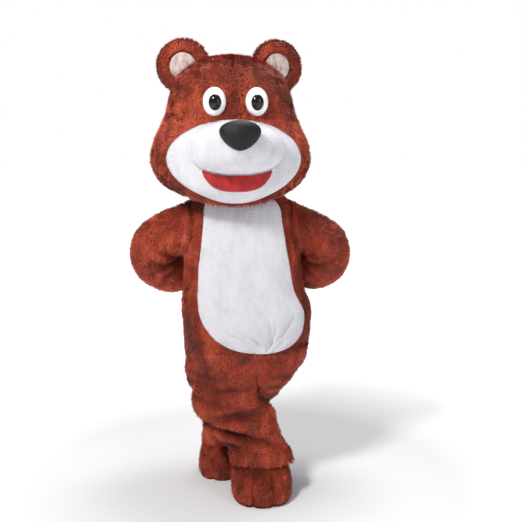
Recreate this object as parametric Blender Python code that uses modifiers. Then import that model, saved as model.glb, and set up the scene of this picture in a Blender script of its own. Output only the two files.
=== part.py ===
"""Plush bear mascot costume, worn and hollow, with its hands behind its hips and its ankles crossed.

Everything is laid out above a floor at height 0, X to the wearer's left and Y to the back. At the end it is
lowered, so that the origin is where the wearer's shoulders carry the suit.
"""

import math
from collections import namedtuple

import bmesh
import bpy
import numpy as np
from mathutils import Matrix, Vector

# Driving dimensions, in metres
SHOULDER_HEIGHT = 1.24
SEAM_GAP = 0.0003
WELD = 1e-5
FUR_WALL = 0.012
PLUSH_WALL = 0.005
PLUSH_RECESS = 0.006
HEAD_WALL = 0.024

# Heights of the suit's seams and edges above the floor
NECK_EDGE = 1.272
HIP_SEAM = 0.550
BELLY_WIDEST = 0.780
BELLY_BOTTOM = 0.612
CROTCH = 0.480
HEM = 0.1493

ARMHOLE_CENTRE = 1.096
ARMHOLE_HALF_HEIGHT = 0.110
ARMHOLE_HALF_ANGLE = math.radians(30)
SIDE_SEAM = math.radians(90)
BELLY_BOTTOM_ANGLE = math.radians(52)
TORSO_POWER = 2.15
LEG_POWER = 2.15
FOOT_POWER = 2.4
BELLY_CORNER_POWER = 2.2
TORSO_ROWS_ABOVE = [NECK_EDGE, 1.248, 1.220]
TORSO_ROWS_BETWEEN = [0.950, 0.890, 0.835]
TORSO_ROWS_BELOW = [0.582, HIP_SEAM + SEAM_GAP / 2]

ZIP_TOP = TORSO_ROWS_ABOVE[-1]
ZIP_BOTTOM = 0.728
ZIP_SLOT_WIDTH = 0.016
ZIP_TAPE_DEPTH = 0.005
ZIP_TAPE_THICKNESS = 0.002
ZIP_TURN = math.radians(4)
SLIDER_SIZE = Vector((0.009, 0.0042, 0.014))
SLIDER_DROP = 0.012
SLIDER_LIFT = 0.0008
TAB_SIZE = Vector((0.008, 0.0016, 0.030))
TAB_HINGE_RADIUS = 0.0016
TAB_HINGE_STEPS = 15
TAB_HINGE_RISE = 0.002
METAL_EDGE_SHARE = 0.3

# How finely each piece is divided: rows along it, columns around it
ARMHOLE_ROWS = 8
BELLY_END_ROWS = 5
PANEL_COLUMNS = 7
BELLY_COLUMNS = 19
ARM_COLUMNS = 2 * ARMHOLE_ROWS
SLEEVE_ROWS = 15
MITT_ROWS = 9
LEG_OUTER_STEPS = 13
LEG_INNER_STEPS = 5
LEG_COLUMNS = LEG_OUTER_STEPS + LEG_INNER_STEPS
FOOT_COLUMNS = 24
FACE_ROWS = 9
FACE_RINGS = 5
HOOD_COLUMNS = 9
MUZZLE_RINGS = 7
MUZZLE_COLUMNS = 18
MOUTH_ROWS = 5
MOUTH_COLUMNS = 11
EAR_STEPS = 22
INNER_EAR_STEPS = 16

TorsoRow = namedtuple("TorsoRow", "height x y half_width front back turn")
TORSO = [
    TorsoRow(0.400, -0.037, 0.000, 0.197, 0.165, 0.155, 15.5),
    TorsoRow(0.450, -0.030, 0.000, 0.216, 0.165, 0.162, 15.5),
    TorsoRow(0.500, -0.020, 0.000, 0.238, 0.168, 0.170, 15.5),
    TorsoRow(0.550, 0.000, 0.000, 0.254, 0.178, 0.180, 15.5),
    TorsoRow(0.610, 0.004, 0.000, 0.262, 0.200, 0.187, 15.5),
    TorsoRow(0.680, 0.006, 0.000, 0.268, 0.222, 0.188, 14.0),
    TorsoRow(0.760, 0.004, 0.000, 0.271, 0.228, 0.182, 10.0),
    TorsoRow(0.860, -0.008, 0.002, 0.252, 0.214, 0.168, 5.0),
    TorsoRow(0.960, -0.012, 0.004, 0.242, 0.196, 0.158, 4.0),
    TorsoRow(1.050, -0.015, 0.006, 0.238, 0.184, 0.154, 4.0),
    TorsoRow(1.120, -0.017, 0.008, 0.228, 0.170, 0.150, 4.0),
    TorsoRow(1.180, -0.020, 0.010, 0.220, 0.152, 0.140, 4.0),
    TorsoRow(1.222, -0.026, 0.012, 0.190, 0.130, 0.124, 4.0),
    TorsoRow(1.252, -0.032, 0.014, 0.146, 0.114, 0.108, 4.0),
    TorsoRow(1.275, -0.036, 0.016, 0.122, 0.104, 0.100, 4.0),
]

BellyRow = namedtuple("BellyRow", "height half_angle")
BELLY = [
    BellyRow(0.780, 52.0),
    BellyRow(0.870, 50.0),
    BellyRow(0.950, 49.0),
    BellyRow(1.040, 45.0),
    BellyRow(1.110, 44.0),
    BellyRow(1.180, 44.0),
    BellyRow(1.275, 40.0),
]

LegRow = namedtuple("LegRow", "height x y half_width half_depth")
LEG_RIGHT = [
    LegRow(0.120, 0.070, -0.115, 0.144, 0.098),
    LegRow(0.170, 0.062, -0.112, 0.136, 0.092),
    LegRow(0.220, 0.030, -0.106, 0.138, 0.089),
    LegRow(0.260, -0.004, -0.100, 0.153, 0.088),
    LegRow(0.300, -0.028, -0.096, 0.164, 0.090),
    LegRow(0.350, -0.045, -0.086, 0.172, 0.096),
    LegRow(0.400, -0.070, -0.062, 0.162, 0.112),
    LegRow(0.450, -0.100, -0.030, 0.146, 0.132),
    LegRow(0.500, -0.125, -0.010, 0.132, 0.152),
]
LEG_LEFT = [
    LegRow(0.120, -0.084, 0.122, 0.120, 0.102),
    LegRow(0.170, -0.080, 0.120, 0.118, 0.098),
    LegRow(0.220, -0.068, 0.115, 0.119, 0.095),
    LegRow(0.260, -0.048, 0.108, 0.120, 0.094),
    LegRow(0.300, -0.018, 0.100, 0.120, 0.094),
    LegRow(0.350, 0.016, 0.086, 0.118, 0.096),
    LegRow(0.400, 0.045, 0.062, 0.116, 0.110),
    LegRow(0.450, 0.076, 0.030, 0.120, 0.130),
    LegRow(0.500, 0.105, 0.010, 0.126, 0.150),
]

PartingRow = namedtuple("PartingRow", "height x y turn")
LEG_PARTING = [
    PartingRow(0.120, -0.010, 0.010, 114.0),
    PartingRow(0.200, -0.018, 0.006, 108.0),
    PartingRow(0.250, -0.020, 0.004, 100.0),
    PartingRow(0.300, -0.020, 0.002, 90.0),
    PartingRow(0.350, -0.018, 0.000, 72.0),
    PartingRow(0.400, -0.037, 0.000, 45.0),
    PartingRow(0.450, -0.030, 0.000, 27.0),
    PartingRow(0.500, -0.020, 0.000, 15.5),
    PartingRow(0.550, 0.000, 0.000, 15.5),
]
LEG_BLEND_HEIGHT = 0.120
LEG_BLEND_TOP = CROTCH + 0.02
LEG_ROWS_ABOVE_CROTCH = [HIP_SEAM - SEAM_GAP / 2, 0.515]
LEG_ROWS_BELOW = [0.455, 0.430, 0.405, 0.380, 0.355, 0.330, 0.305, 0.280, 0.255, 0.228, 0.200, 0.175, HEM]
LEG_INNER_HALF_ANGLE = math.radians(55)
LEG_START_TURN = math.radians(25)
LEG_PRESS = 0.018
LEG_SPREAD = 0.0015

ArmRow = namedtuple("ArmRow", "along across deep")
ARM_SIZES = [
    ArmRow(0.00, 0.110, 0.094),
    ArmRow(0.30, 0.116, 0.102),
    ArmRow(0.55, 0.114, 0.104),
    ArmRow(0.80, 0.104, 0.094),
    ArmRow(1.00, 0.078, 0.070),
]
Arm = namedtuple("Arm", "side shoulder elbow wrist knuckles fingertips bend_radius")
ARM_RIGHT = Arm(
    -1,
    Vector((-0.250, 0.018, 1.108)),
    Vector((-0.422, 0.026, 1.002)),
    Vector((-0.296, 0.170, 0.856)),
    Vector((-0.225, 0.236, 0.824)),
    Vector((-0.130, 0.266, 0.810)),
    0.118,
)
ARM_LEFT = Arm(
    1,
    Vector((0.220, 0.018, 1.108)),
    Vector((0.368, 0.026, 1.004)),
    Vector((0.264, 0.170, 0.872)),
    Vector((0.205, 0.236, 0.836)),
    Vector((0.115, 0.266, 0.818)),
    0.118,
)
ARM_BLEND = 0.34
ARMHOLE_BLEND = 0.14
TORSO_CLEARANCE = 0.003
TORSO_PUSH_LIMIT = 0.6
MITT_ACROSS = 0.058
MITT_DEEP = 0.042
MITT_BLEND = 0.3
MittRow = namedtuple("MittRow", "along swell")
MITT_PROFILE = [
    MittRow(0.00, 0.94),
    MittRow(0.25, 0.96),
    MittRow(0.55, 1.06),
    MittRow(0.80, 0.86),
    MittRow(0.94, 0.48),
    MittRow(1.00, 0.00),
]

FootPlace = namedtuple("FootPlace", "side x y half_width front back turn")
FOOT_RIGHT = FootPlace("right", 0.067, -0.110, 0.128, 0.166, 0.122, 3.0)
FOOT_LEFT = FootPlace("left", -0.098, 0.122, 0.112, 0.131, 0.135, -4.0)
FootRow = namedtuple("FootRow", "reach height")
FOOT_PROFILE = [
    FootRow(0.00, 0.178),
    FootRow(0.10, 0.153),
    FootRow(0.30, 0.144),
    FootRow(0.55, 0.135),
    FootRow(0.78, 0.117),
    FootRow(0.94, 0.087),
    FootRow(1.00, 0.052),
    FootRow(0.985, 0.018),
    FootRow(0.93, 0.000),
]
ANKLE_HALF_WIDTH = 0.078
ANKLE_HALF_DEPTH = 0.066
TOE_CREASE_DEPTH = 0.020
TOE_CREASE_START = 0.300
TOE_CREASE_DROP = 0.13
TOE_CREASE_COLUMN = 2
TOE_CROWDING = 0.45

# Head, in its own frame: X to the wearer's left, -Y out of the face
HEAD_CENTRE = Vector((-0.058, 0.012, -0.011))
HEAD_TURN = math.radians(7)
HEAD_POWER = 2.1
LEAST_HALF_WIDTH = 0.04
OUTWARD_STEP = 0.004
HeadRow = namedtuple("HeadRow", "height half_width front back chin_drop")
HEAD = [
    HeadRow(1.800, 0.000, 0.000, 0.000, 0.000),
    HeadRow(1.796, 0.060, 0.058, 0.060, 0.000),
    HeadRow(1.779, 0.122, 0.116, 0.122, 0.000),
    HeadRow(1.748, 0.178, 0.166, 0.176, 0.000),
    HeadRow(1.700, 0.224, 0.206, 0.218, 0.000),
    HeadRow(1.640, 0.247, 0.232, 0.246, 0.000),
    HeadRow(1.575, 0.262, 0.246, 0.262, 0.000),
    HeadRow(1.510, 0.288, 0.256, 0.272, 0.000),
    HeadRow(1.445, 0.318, 0.264, 0.274, 0.000),
    HeadRow(1.385, 0.328, 0.268, 0.266, 0.002),
    HeadRow(1.325, 0.312, 0.268, 0.248, 0.010),
    HeadRow(1.278, 0.272, 0.254, 0.220, 0.030),
    HeadRow(1.256, 0.224, 0.222, 0.190, 0.050),
    HeadRow(1.258, 0.188, 0.186, 0.168, 0.046),
    HeadRow(1.276, 0.164, 0.160, 0.154, 0.034),
]

FACE_HALF_ANGLE = math.radians(54)
FACE_CENTRE = 0.702
FACE_HALF_SPAN = 0.192
HOOD_PLACES_ABOVE = [0.0, 0.07, 0.15, 0.24, 0.32, 0.39, 0.46]
HOOD_PLACES_BELOW = [0.925, 0.960, 1.0]
FACE_PADDING = 0.030
FACE_EDGE_REACH = 0.15
JAW_EASE = 1.4
JAW_PADDING = 0.026
MUZZLE_CENTRE = 0.640
MUZZLE_HALF_ANGLE = math.radians(32)
MUZZLE_HALF_SPAN = 0.120
MUZZLE_REACH = 0.118
MUZZLE_WALL = 0.009
MUZZLE_POWER = 2.3
MUZZLE_EDGE_REACH = 0.13
MUZZLE_TIP_POWER = 1.15
MUZZLE_AHEAD = np.array([0.0, -1.0, 0.06])
MOUTH_DROP = 0.006
MOUTH_CORNER = 0.96
MUZZLE_SEAT = 0.002
MOUTH_HALF_ANGLE = math.radians(21)
MOUTH_SPAN = 0.056
MOUTH_WALL = 0.003

EYE_SIZE = Vector((0.044, 0.031, 0.054))
EYE_PLACE = 0.430
EYE_ANGLE = math.radians(17)
PUPIL_SIZE = Vector((0.025, 0.018, 0.031))
PUPIL_PLACE = Vector((0.004, 0.010, -0.003))
EYE_LIFT = 0.002
EYE_TURN_SHARE = 0.6
NOSE_SIZE = Vector((0.084, 0.044, 0.054))
NOSE_PLACE = np.array([0.0, 0.006, 0.026])
NOSE_WIDTH_SHARE = 0.86
NOSE_TOP_SPREAD = 0.26

EarRow = namedtuple("EarRow", "radius depth")
EAR_PROFILE = [
    EarRow(0.000, 0.034),
    EarRow(0.055, 0.031),
    EarRow(0.090, 0.021),
    EarRow(0.111, 0.002),
    EarRow(0.108, -0.020),
    EarRow(0.090, -0.030),
    EarRow(0.068, -0.025),
    EarRow(0.056, -0.010),
    EarRow(0.000, -0.006),
]
INNER_EAR_PROFILE = [
    EarRow(0.000, -0.0063),
    EarRow(0.052, -0.0100),
    EarRow(0.053, -0.0130),
    EarRow(0.030, -0.0170),
    EarRow(0.000, -0.0185),
]
EAR_CENTRE = Vector((0.186, 0.012, 1.752))
EAR_ROLL = math.radians(24)
EAR_YAW = math.radians(14)

# Soft troughs in the cloth: where along and around the piece, how they slope, and their size in metres
Fold = namedtuple("Fold", "place around slope length width depth")
SLEEVE_FOLDS = [
    Fold(0.50, 0.50, 0, 0.40, 0.020, 0.016),
    Fold(0.36, 0.40, 14, 0.30, 0.017, 0.010),
    Fold(0.66, 0.38, -12, 0.30, 0.017, 0.011),
    Fold(0.27, 0.66, -16, 0.24, 0.016, 0.008),
    Fold(0.80, 0.62, 12, 0.26, 0.016, 0.009),
]
LEG_FOLDS = [
    Fold(0.508, 0.20, 5, 0.34, 0.016, 0.010),
    Fold(0.452, 0.14, -8, 0.30, 0.017, 0.011),
    Fold(0.408, 0.30, 9, 0.34, 0.016, 0.010),
    Fold(0.352, 0.16, -6, 0.34, 0.018, 0.013),
    Fold(0.300, 0.34, 10, 0.36, 0.017, 0.012),
    Fold(0.252, 0.12, 14, 0.28, 0.017, 0.011),
    Fold(0.205, 0.42, -12, 0.30, 0.016, 0.009),
]
ARM_LENGTH = 0.34
ARM_GIRTH = 0.58
LEG_GIRTH = 0.80
BELLY_GATHERS = 6
BELLY_GATHER_SPREAD = 0.150
BELLY_GATHER_DEPTH = 0.007
BELLY_GATHER_START = 6.0

Finish = namedtuple("Finish", "colour roughness metallic")
FINISHES = {
    "brown_fur": Finish((0.31, 0.055, 0.025), 0.95, 0.0),
    "white_plush": Finish((0.80, 0.80, 0.84), 0.95, 0.0),
    "pale_plush": Finish((0.62, 0.47, 0.42), 0.95, 0.0),
    "black_pad": Finish((0.012, 0.012, 0.014), 0.45, 0.0),
    "red_felt": Finish((0.55, 0.02, 0.02), 0.90, 0.0),
    "eye_white": Finish((0.86, 0.86, 0.86), 0.25, 0.0),
    "zip_tape": Finish((0.10, 0.03, 0.02), 0.90, 0.0),
    "zip_metal": Finish((0.50, 0.45, 0.40), 0.35, 1.0),
}


# Scene and materials


def clear_scene():
    for item in list(bpy.data.objects):
        bpy.data.objects.remove(item)


def new_collection(name):
    collection = bpy.data.collections.new(name)
    bpy.context.scene.collection.children.link(collection)
    return collection


def material(name):
    found = bpy.data.materials.get(name)
    if found:
        return found
    finish = FINISHES[name]
    made = bpy.data.materials.new(name)
    made.use_nodes = True
    shader = made.node_tree.nodes["Principled BSDF"]
    shader.inputs["Base Color"].default_value = (*finish.colour, 1.0)
    shader.inputs["Roughness"].default_value = finish.roughness
    shader.inputs["Metallic"].default_value = finish.metallic
    return made


# Curves through short tables


def smooth(knots, values, places):
    """Values at places along a curve through the knots, which never swings past them."""
    knots = np.asarray(knots, float)
    values = np.asarray(values, float)
    steps = np.diff(knots)
    slopes = np.diff(values) / steps
    before, after = slopes[:-1], slopes[1:]
    steady = before * after > 0
    safe_before = np.where(steady, before, 1.0)
    safe_after = np.where(steady, after, 1.0)
    weight_before = 2 * steps[1:] + steps[:-1]
    weight_after = steps[1:] + 2 * steps[:-1]
    mean = (weight_before + weight_after) / (weight_before / safe_before + weight_after / safe_after)
    tangents = np.concatenate([slopes[:1], np.where(steady, mean, 0.0), slopes[-1:]])
    places = np.clip(np.asarray(places, float), knots[0], knots[-1])
    index = np.clip(np.searchsorted(knots, places) - 1, 0, len(steps) - 1)
    step = steps[index]
    part = (places - knots[index]) / step
    rest = 1 - part
    return (
        values[index] * (1 + 2 * part) * rest**2
        + values[index + 1] * (3 - 2 * part) * part**2
        + step * tangents[index] * part * rest**2
        - step * tangents[index + 1] * part**2 * rest
    )


def column(rows, knot, field, places):
    return smooth([getattr(row, knot) for row in rows], [getattr(row, field) for row in rows], places)


def ease(part):
    part = np.clip(part, 0.0, 1.0)
    return part * part * (3 - 2 * part)


def rounded(angle, power):
    """Across and ahead of a rounded outline at an angle from straight ahead, 1 at its sides and its front."""
    across = np.sin(angle)
    ahead = np.cos(angle)
    return (
        np.sign(across) * np.abs(across) ** (2 / power),
        np.sign(ahead) * np.abs(ahead) ** (2 / power),
    )


def turned(points, angle):
    """Points turned about Z, so that straight ahead, -Y, goes towards +X."""
    x, y, z = points[..., 0], points[..., 1], points[..., 2]
    return np.stack(
        [x * math.cos(angle) - y * math.sin(angle), x * math.sin(angle) + y * math.cos(angle), z], axis=-1
    )


def fold_depth(folds, place, around, length, girth):
    """How deep the folds press the cloth in; place and around are shares of the length and the girth."""
    total = 0.0
    for fold in folds:
        slope = math.radians(fold.slope)
        sideways = ((around - fold.around + 0.5) % 1.0 - 0.5) * girth
        onward = (place - fold.place) * length
        along = sideways * math.cos(slope) + onward * math.sin(slope)
        off = onward * math.cos(slope) - sideways * math.sin(slope)
        fade = np.clip(1 - (2 * along / fold.length) ** 2, 0.0, 1.0)
        total = total + fold.depth * fade * np.exp(-((off / fold.width) ** 2))
    return total


# Meshes


def grid_faces(rows, columns, wrap=False):
    """Four-sided faces of a grid of points in reading order; wrap joins the last column to the first."""
    faces = []
    for row in range(rows - 1):
        for place in range(columns if wrap else columns - 1):
            here = row * columns + place
            beside = row * columns + (place + 1) % columns
            faces.append((here, beside, beside + columns, here + columns))
    return faces


def weld(mesh, distance=WELD, turn_outward=True):
    """Joins points that coincide, and turns a closed mesh's faces outward."""
    work = bmesh.new()
    work.from_mesh(mesh)
    bmesh.ops.remove_doubles(work, verts=work.verts, dist=distance)
    if turn_outward:
        bmesh.ops.recalc_face_normals(work, faces=work.faces)
    work.to_mesh(mesh)
    work.free()
    return mesh


def wall_mesh(name, outer, inner, faces):
    """A closed wall between outer and inner points that share their faces, with its edges turned over."""
    outer = np.asarray(outer).reshape(-1, 3)
    inner = np.asarray(inner).reshape(-1, 3)
    count = len(outer)
    directed = {(face[i], face[(i + 1) % len(face)]) for face in faces for i in range(len(face))}
    open_edges = [(start, end) for start, end in directed if (end, start) not in directed]
    walls = list(faces)
    walls += [tuple(corner + count for corner in reversed(face)) for face in faces]
    walls += [(end, start, start + count, end + count) for start, end in sorted(open_edges)]
    points = np.concatenate([outer, inner])
    points[:, 2] -= SHOULDER_HEIGHT
    mesh = bpy.data.meshes.new(name)
    mesh.from_pydata(points.tolist(), [], walls)
    return weld(mesh)


def add_object(name, mesh, finish, collection):
    made = bpy.data.objects.new(name, mesh)
    mesh.materials.append(material(finish))
    mesh.shade_smooth()
    collection.objects.link(made)
    return made


def add_wall(name, surface, rows, columns, wall, finish, collection, wrap=False, drop=None):
    """A cloth piece: surface(inset) gives its grid of points, inset from the outer face."""
    faces = [face for face in grid_faces(rows, columns, wrap) if drop is None or not drop(face)]
    mesh = wall_mesh(name, surface(0.0), surface(wall), faces)
    return add_object(name, mesh, finish, collection)


# Torso


def torso_point(angle, height, inset=0.0):
    """A point of the suit at an angle from the belly's middle line, towards the wearer's left."""
    height = np.asarray(height, float)
    turn = np.radians(column(TORSO, "height", "turn", height))
    across, ahead = rounded(angle + turn, TORSO_POWER)
    half_width = column(TORSO, "height", "half_width", height) - inset
    front = column(TORSO, "height", "front", height) - inset
    back = column(TORSO, "height", "back", height) - inset
    x = column(TORSO, "height", "x", height) + half_width * across
    y = column(TORSO, "height", "y", height) - np.where(ahead > 0, front, back) * ahead
    return np.stack(np.broadcast_arrays(x, y, height), axis=-1)


def belly_half_angle(height):
    above = np.radians(column(BELLY, "height", "half_angle", height))
    fall = np.clip((BELLY_WIDEST - height) / (BELLY_WIDEST - BELLY_BOTTOM), 0.0, 1.0)
    below = BELLY_BOTTOM_ANGLE * np.sqrt(1 - fall**BELLY_CORNER_POWER)
    return np.where(height >= BELLY_WIDEST, above, below)


def armhole_half_angle(height):
    part = np.clip(np.abs(height - ARMHOLE_CENTRE) / ARMHOLE_HALF_HEIGHT, 0.0, 1.0)
    return ARMHOLE_HALF_ANGLE * np.sqrt(1 - part**2)


def zip_half_angle(height):
    inside = (height <= ZIP_TOP) & (height >= ZIP_BOTTOM)
    return np.where(inside, ZIP_SLOT_WIDTH / 2 / column(TORSO, "height", "back", height), 0.0)


def armhole_heights():
    turns = np.linspace(0, math.pi, ARMHOLE_ROWS + 1)
    return ARMHOLE_CENTRE + ARMHOLE_HALF_HEIGHT * np.cos(turns)


def belly_end_heights():
    turns = np.linspace(0, math.pi / 2, BELLY_END_ROWS + 1)
    return BELLY_WIDEST - (BELLY_WIDEST - BELLY_BOTTOM) * np.sin(turns)


def torso_heights():
    """Heights of the rows that the torso's pieces share, so that their edges follow the same line."""
    return np.concatenate(
        [TORSO_ROWS_ABOVE, armhole_heights(), TORSO_ROWS_BETWEEN, belly_end_heights(), TORSO_ROWS_BELOW]
    )


def panel(heights, columns, low, high, inset):
    """Points of a torso panel between two edges, each an angle for every height."""
    part = np.linspace(0.0, 1.0, columns)
    angles = low[:, None] * (1 - part) + high[:, None] * part
    return torso_point(angles, heights[:, None], inset)


def seam_angle(heights):
    return SEAM_GAP / 2 / column(TORSO, "height", "half_width", heights)


def belly_points(rows, edge, inset):
    """The belly panel, drawn into gathers that fan up from the bottom of its curved edge."""
    points = panel(rows, BELLY_COLUMNS, -edge, edge, PLUSH_RECESS + inset)
    part = np.linspace(-1.0, 1.0, BELLY_COLUMNS)[None, :]
    waves = (0.5 - 0.5 * np.cos(part * math.pi * BELLY_GATHERS)) * (1 - part**2)
    up = (rows[:, None] - BELLY_BOTTOM) / BELLY_GATHER_SPREAD
    fade = np.clip(1 - up, 0.0, 1.0) * np.clip(up * BELLY_GATHER_START, 0.0, 1.0)
    points[..., 1] += BELLY_GATHER_DEPTH * waves * fade
    return points


def build_torso(collection):
    heights = torso_heights()
    gap = seam_angle(heights)
    armhole = armhole_half_angle(heights)
    belly_edge = belly_half_angle(heights)
    front_edges = (belly_edge + gap, SIDE_SEAM - armhole - 2 * gap)
    back_edges = (SIDE_SEAM + armhole + 2 * gap, math.pi - zip_half_angle(heights) - gap)
    for part, edges in (("front", front_edges), ("back", back_edges)):
        for side, sign in (("left", 1), ("right", -1)):
            low, high = sign * edges[0], sign * edges[1]
            add_wall(
                f"{part}_{side}",
                lambda inset, low=low, high=high: panel(heights, PANEL_COLUMNS, low, high, inset),
                len(heights), PANEL_COLUMNS, FUR_WALL, "brown_fur", collection,
            )
    rows = heights[:-2]
    edge = np.maximum(belly_edge - 2 * gap, 0.0)[:-2]
    add_wall(
        "belly",
        lambda inset: belly_points(rows, edge, inset),
        len(rows), BELLY_COLUMNS, PLUSH_WALL, "white_plush", collection,
    )


# Zip in the back


def build_zip(collection):
    heights = np.array([height for height in torso_heights() if ZIP_BOTTOM <= height <= ZIP_TOP])
    edge = (ZIP_SLOT_WIDTH / 2 - 2 * SEAM_GAP) / column(TORSO, "height", "back", heights)
    add_wall(
        "zip_tape",
        lambda inset: panel(heights, 3, math.pi - edge, math.pi + edge, ZIP_TAPE_DEPTH + inset),
        len(heights), 3, ZIP_TAPE_THICKNESS, "zip_tape", collection,
    )


def box_mesh(name, size):
    work = bmesh.new()
    bmesh.ops.create_cube(work, size=1.0)
    bmesh.ops.scale(work, vec=size, verts=work.verts)
    bmesh.ops.bevel(work, geom=work.edges[:], offset=min(size) * METAL_EDGE_SHARE, segments=2, affect="EDGES")
    mesh = bpy.data.meshes.new(name)
    work.to_mesh(mesh)
    work.free()
    return mesh


def pull_mesh(name):
    """A round barrel on the hinge's axis, with the flat tab hanging from it."""
    half = TAB_SIZE.y / 2
    start = math.asin(half / TAB_HINGE_RADIUS)
    turns = np.linspace(start, 2 * math.pi - start, TAB_HINGE_STEPS)
    outline = [(TAB_HINGE_RADIUS * math.sin(turn), -TAB_HINGE_RADIUS * math.cos(turn)) for turn in turns]
    outline += [(-half, -TAB_SIZE.z), (half, -TAB_SIZE.z)]
    count = len(outline)
    points = [(side * TAB_SIZE.x / 2, y, z) for side in (-1, 1) for y, z in outline]
    faces = [(i, (i + 1) % count, (i + 1) % count + count, i + count) for i in range(count)]
    faces += [tuple(range(count)), tuple(range(count, 2 * count))]
    mesh = bpy.data.meshes.new(name)
    mesh.from_pydata(points, [], faces)
    return weld(mesh)


def zip_frame(height, out):
    """A frame on the middle of the back, its -Y into the back and its Z up along the zip."""
    here, above = (Vector(torso_point(math.pi, at, -out).tolist()) for at in (height, height + 0.01))
    upward = (above - here).normalized()
    inward = Vector((math.sin(ZIP_TURN), -math.cos(ZIP_TURN), 0.0))
    across = inward.cross(upward).normalized()
    inward = upward.cross(across)
    frame = Matrix((across, -inward, upward)).transposed().to_4x4()
    frame.translation = here - Vector((0, 0, SHOULDER_HEIGHT))
    return frame


def build_slider(collection):
    """The slider, closed at the top of the zip, and its pull tab hanging from it."""
    height = ZIP_TOP - SLIDER_DROP
    frame = zip_frame(height, SLIDER_SIZE.y / 2 + SEAM_GAP - ZIP_TAPE_DEPTH + SLIDER_LIFT)
    slider = add_object("zip_slider", box_mesh("zip_slider", SLIDER_SIZE), "zip_metal", collection)
    slider.matrix_world = frame
    hinge = bpy.data.objects.new("zip_pull_hinge", None)
    collection.objects.link(hinge)
    hinge_out = SLIDER_SIZE.y / 2 + TAB_HINGE_RADIUS + SEAM_GAP
    hinge.matrix_world = frame @ Matrix.Translation((0, hinge_out, TAB_HINGE_RISE))
    pull = add_object("zip_pull", pull_mesh("zip_pull"), "zip_metal", collection)
    pull.parent = hinge


# Sleeves and mitts


def arm_path(arm, along):
    """Places and directions along the arm's bent middle line, from the shoulder, 0, to the wrist, 1."""
    shoulder, elbow, wrist = (np.array(point) for point in (arm.shoulder, arm.elbow, arm.wrist))
    first = elbow - shoulder
    second = wrist - elbow
    first_length = np.linalg.norm(first)
    second_length = np.linalg.norm(second)
    first = first / first_length
    second = second / second_length
    turn = math.acos(float(first @ second))
    cut = arm.bend_radius * math.tan(turn / 2)
    lengths = [first_length - cut, arm.bend_radius * turn, second_length - cut]
    place = np.asarray(along, float) * sum(lengths)
    across = second - first * float(first @ second)
    across = across / np.linalg.norm(across)
    start = elbow - first * cut
    swing = np.clip((place - lengths[0]) / arm.bend_radius, 0.0, turn)[..., None]
    before = np.minimum(place - lengths[0], 0.0)[..., None]
    after = np.maximum(place - lengths[0] - lengths[1], 0.0)[..., None]
    direction = first * np.cos(swing) + across * np.sin(swing)
    centre = start + first * before + arm.bend_radius * (first * np.sin(swing) + across * (1 - np.cos(swing)))
    return centre + second * after, direction, across, np.cross(first, across)


def armhole_ring(side, inset=0.0):
    """The armhole's edge, from its top down the front and up the back."""
    heights = armhole_heights()
    reach = armhole_half_angle(heights)
    front = torso_point(side * (SIDE_SEAM - reach), heights)
    back = torso_point(side * (SIDE_SEAM + reach), heights)
    ring = np.concatenate([front, back[-2:0:-1]])
    ring[:, 0] += side * SEAM_GAP
    centre = ring.mean(axis=0)
    towards = centre - ring
    return ring + towards / np.linalg.norm(towards, axis=1, keepdims=True) * inset


def clear_of_torso(points, gap, share):
    """Moves points that lie inside the torso's outline, or nearer to it than the gap, straight out."""
    x, y, height = points[..., 0], points[..., 1], points[..., 2]
    across = x - column(TORSO, "height", "x", height)
    ahead = column(TORSO, "height", "y", height) - y
    front = column(TORSO, "height", "front", height)
    depth = np.where(ahead > 0, front, column(TORSO, "height", "back", height))
    width = column(TORSO, "height", "half_width", height)
    reach = (np.abs(across / width) ** TORSO_POWER + np.abs(ahead / depth) ** TORSO_POWER) ** (1 / TORSO_POWER)
    missing = np.clip(1 + gap / width - reach, 0.0, TORSO_PUSH_LIMIT) * share
    out = points.copy()
    out[..., 0] += across / reach * missing
    out[..., 1] -= ahead / reach * missing
    return out


def sleeve_points(arm, places, inset=0.0):
    """Rings of the sleeve: the armhole's own edge, easing into round sections."""
    ring = armhole_ring(arm.side, inset)
    centre, direction, across, normal = arm_path(arm, places)
    upward = np.cross(normal, direction)
    outer_side = -upward if (upward[0] @ np.array((0, 0, 1.0))) < 0 else upward
    angles = np.linspace(0, 2 * math.pi, ARM_COLUMNS, endpoint=False)
    forward = np.cross(direction, outer_side) * arm.side
    shares = (angles / (2 * math.pi))[None, :]
    pressed = fold_depth(SLEEVE_FOLDS, places[:, None], shares, ARM_LENGTH, ARM_GIRTH) + inset
    half_across = (column(ARM_SIZES, "along", "across", places)[:, None] - pressed)[:, :, None]
    half_deep = (column(ARM_SIZES, "along", "deep", places)[:, None] - pressed)[:, :, None]
    rounds = (
        centre[:, None, :]
        + outer_side[:, None, :] * np.cos(angles)[None, :, None] * half_across
        + forward[:, None, :] * np.sin(angles)[None, :, None] * half_deep
    )
    share = ease(np.asarray(places) / ARM_BLEND)[:, None, None]
    points = ring[None] * (1 - share) + rounds * share
    return clear_of_torso(points, TORSO_CLEARANCE + inset, ease(np.asarray(places) / ARMHOLE_BLEND)[:, None])


def build_arms(collection):
    places = np.linspace(0.0, 1.0, SLEEVE_ROWS)
    for name, arm in (("sleeve_right", ARM_RIGHT), ("sleeve_left", ARM_LEFT)):
        add_wall(
            name,
            lambda inset, arm=arm: sleeve_points(arm, places, inset),
            len(places), ARM_COLUMNS, FUR_WALL, "brown_fur", collection, wrap=True,
        )
    for name, arm in (("mitt_right", ARM_RIGHT), ("mitt_left", ARM_LEFT)):
        add_wall(
            name,
            lambda inset, arm=arm: mitt_points(arm, inset),
            MITT_ROWS, ARM_COLUMNS, FUR_WALL, "brown_fur", collection, wrap=True,
        )


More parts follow.
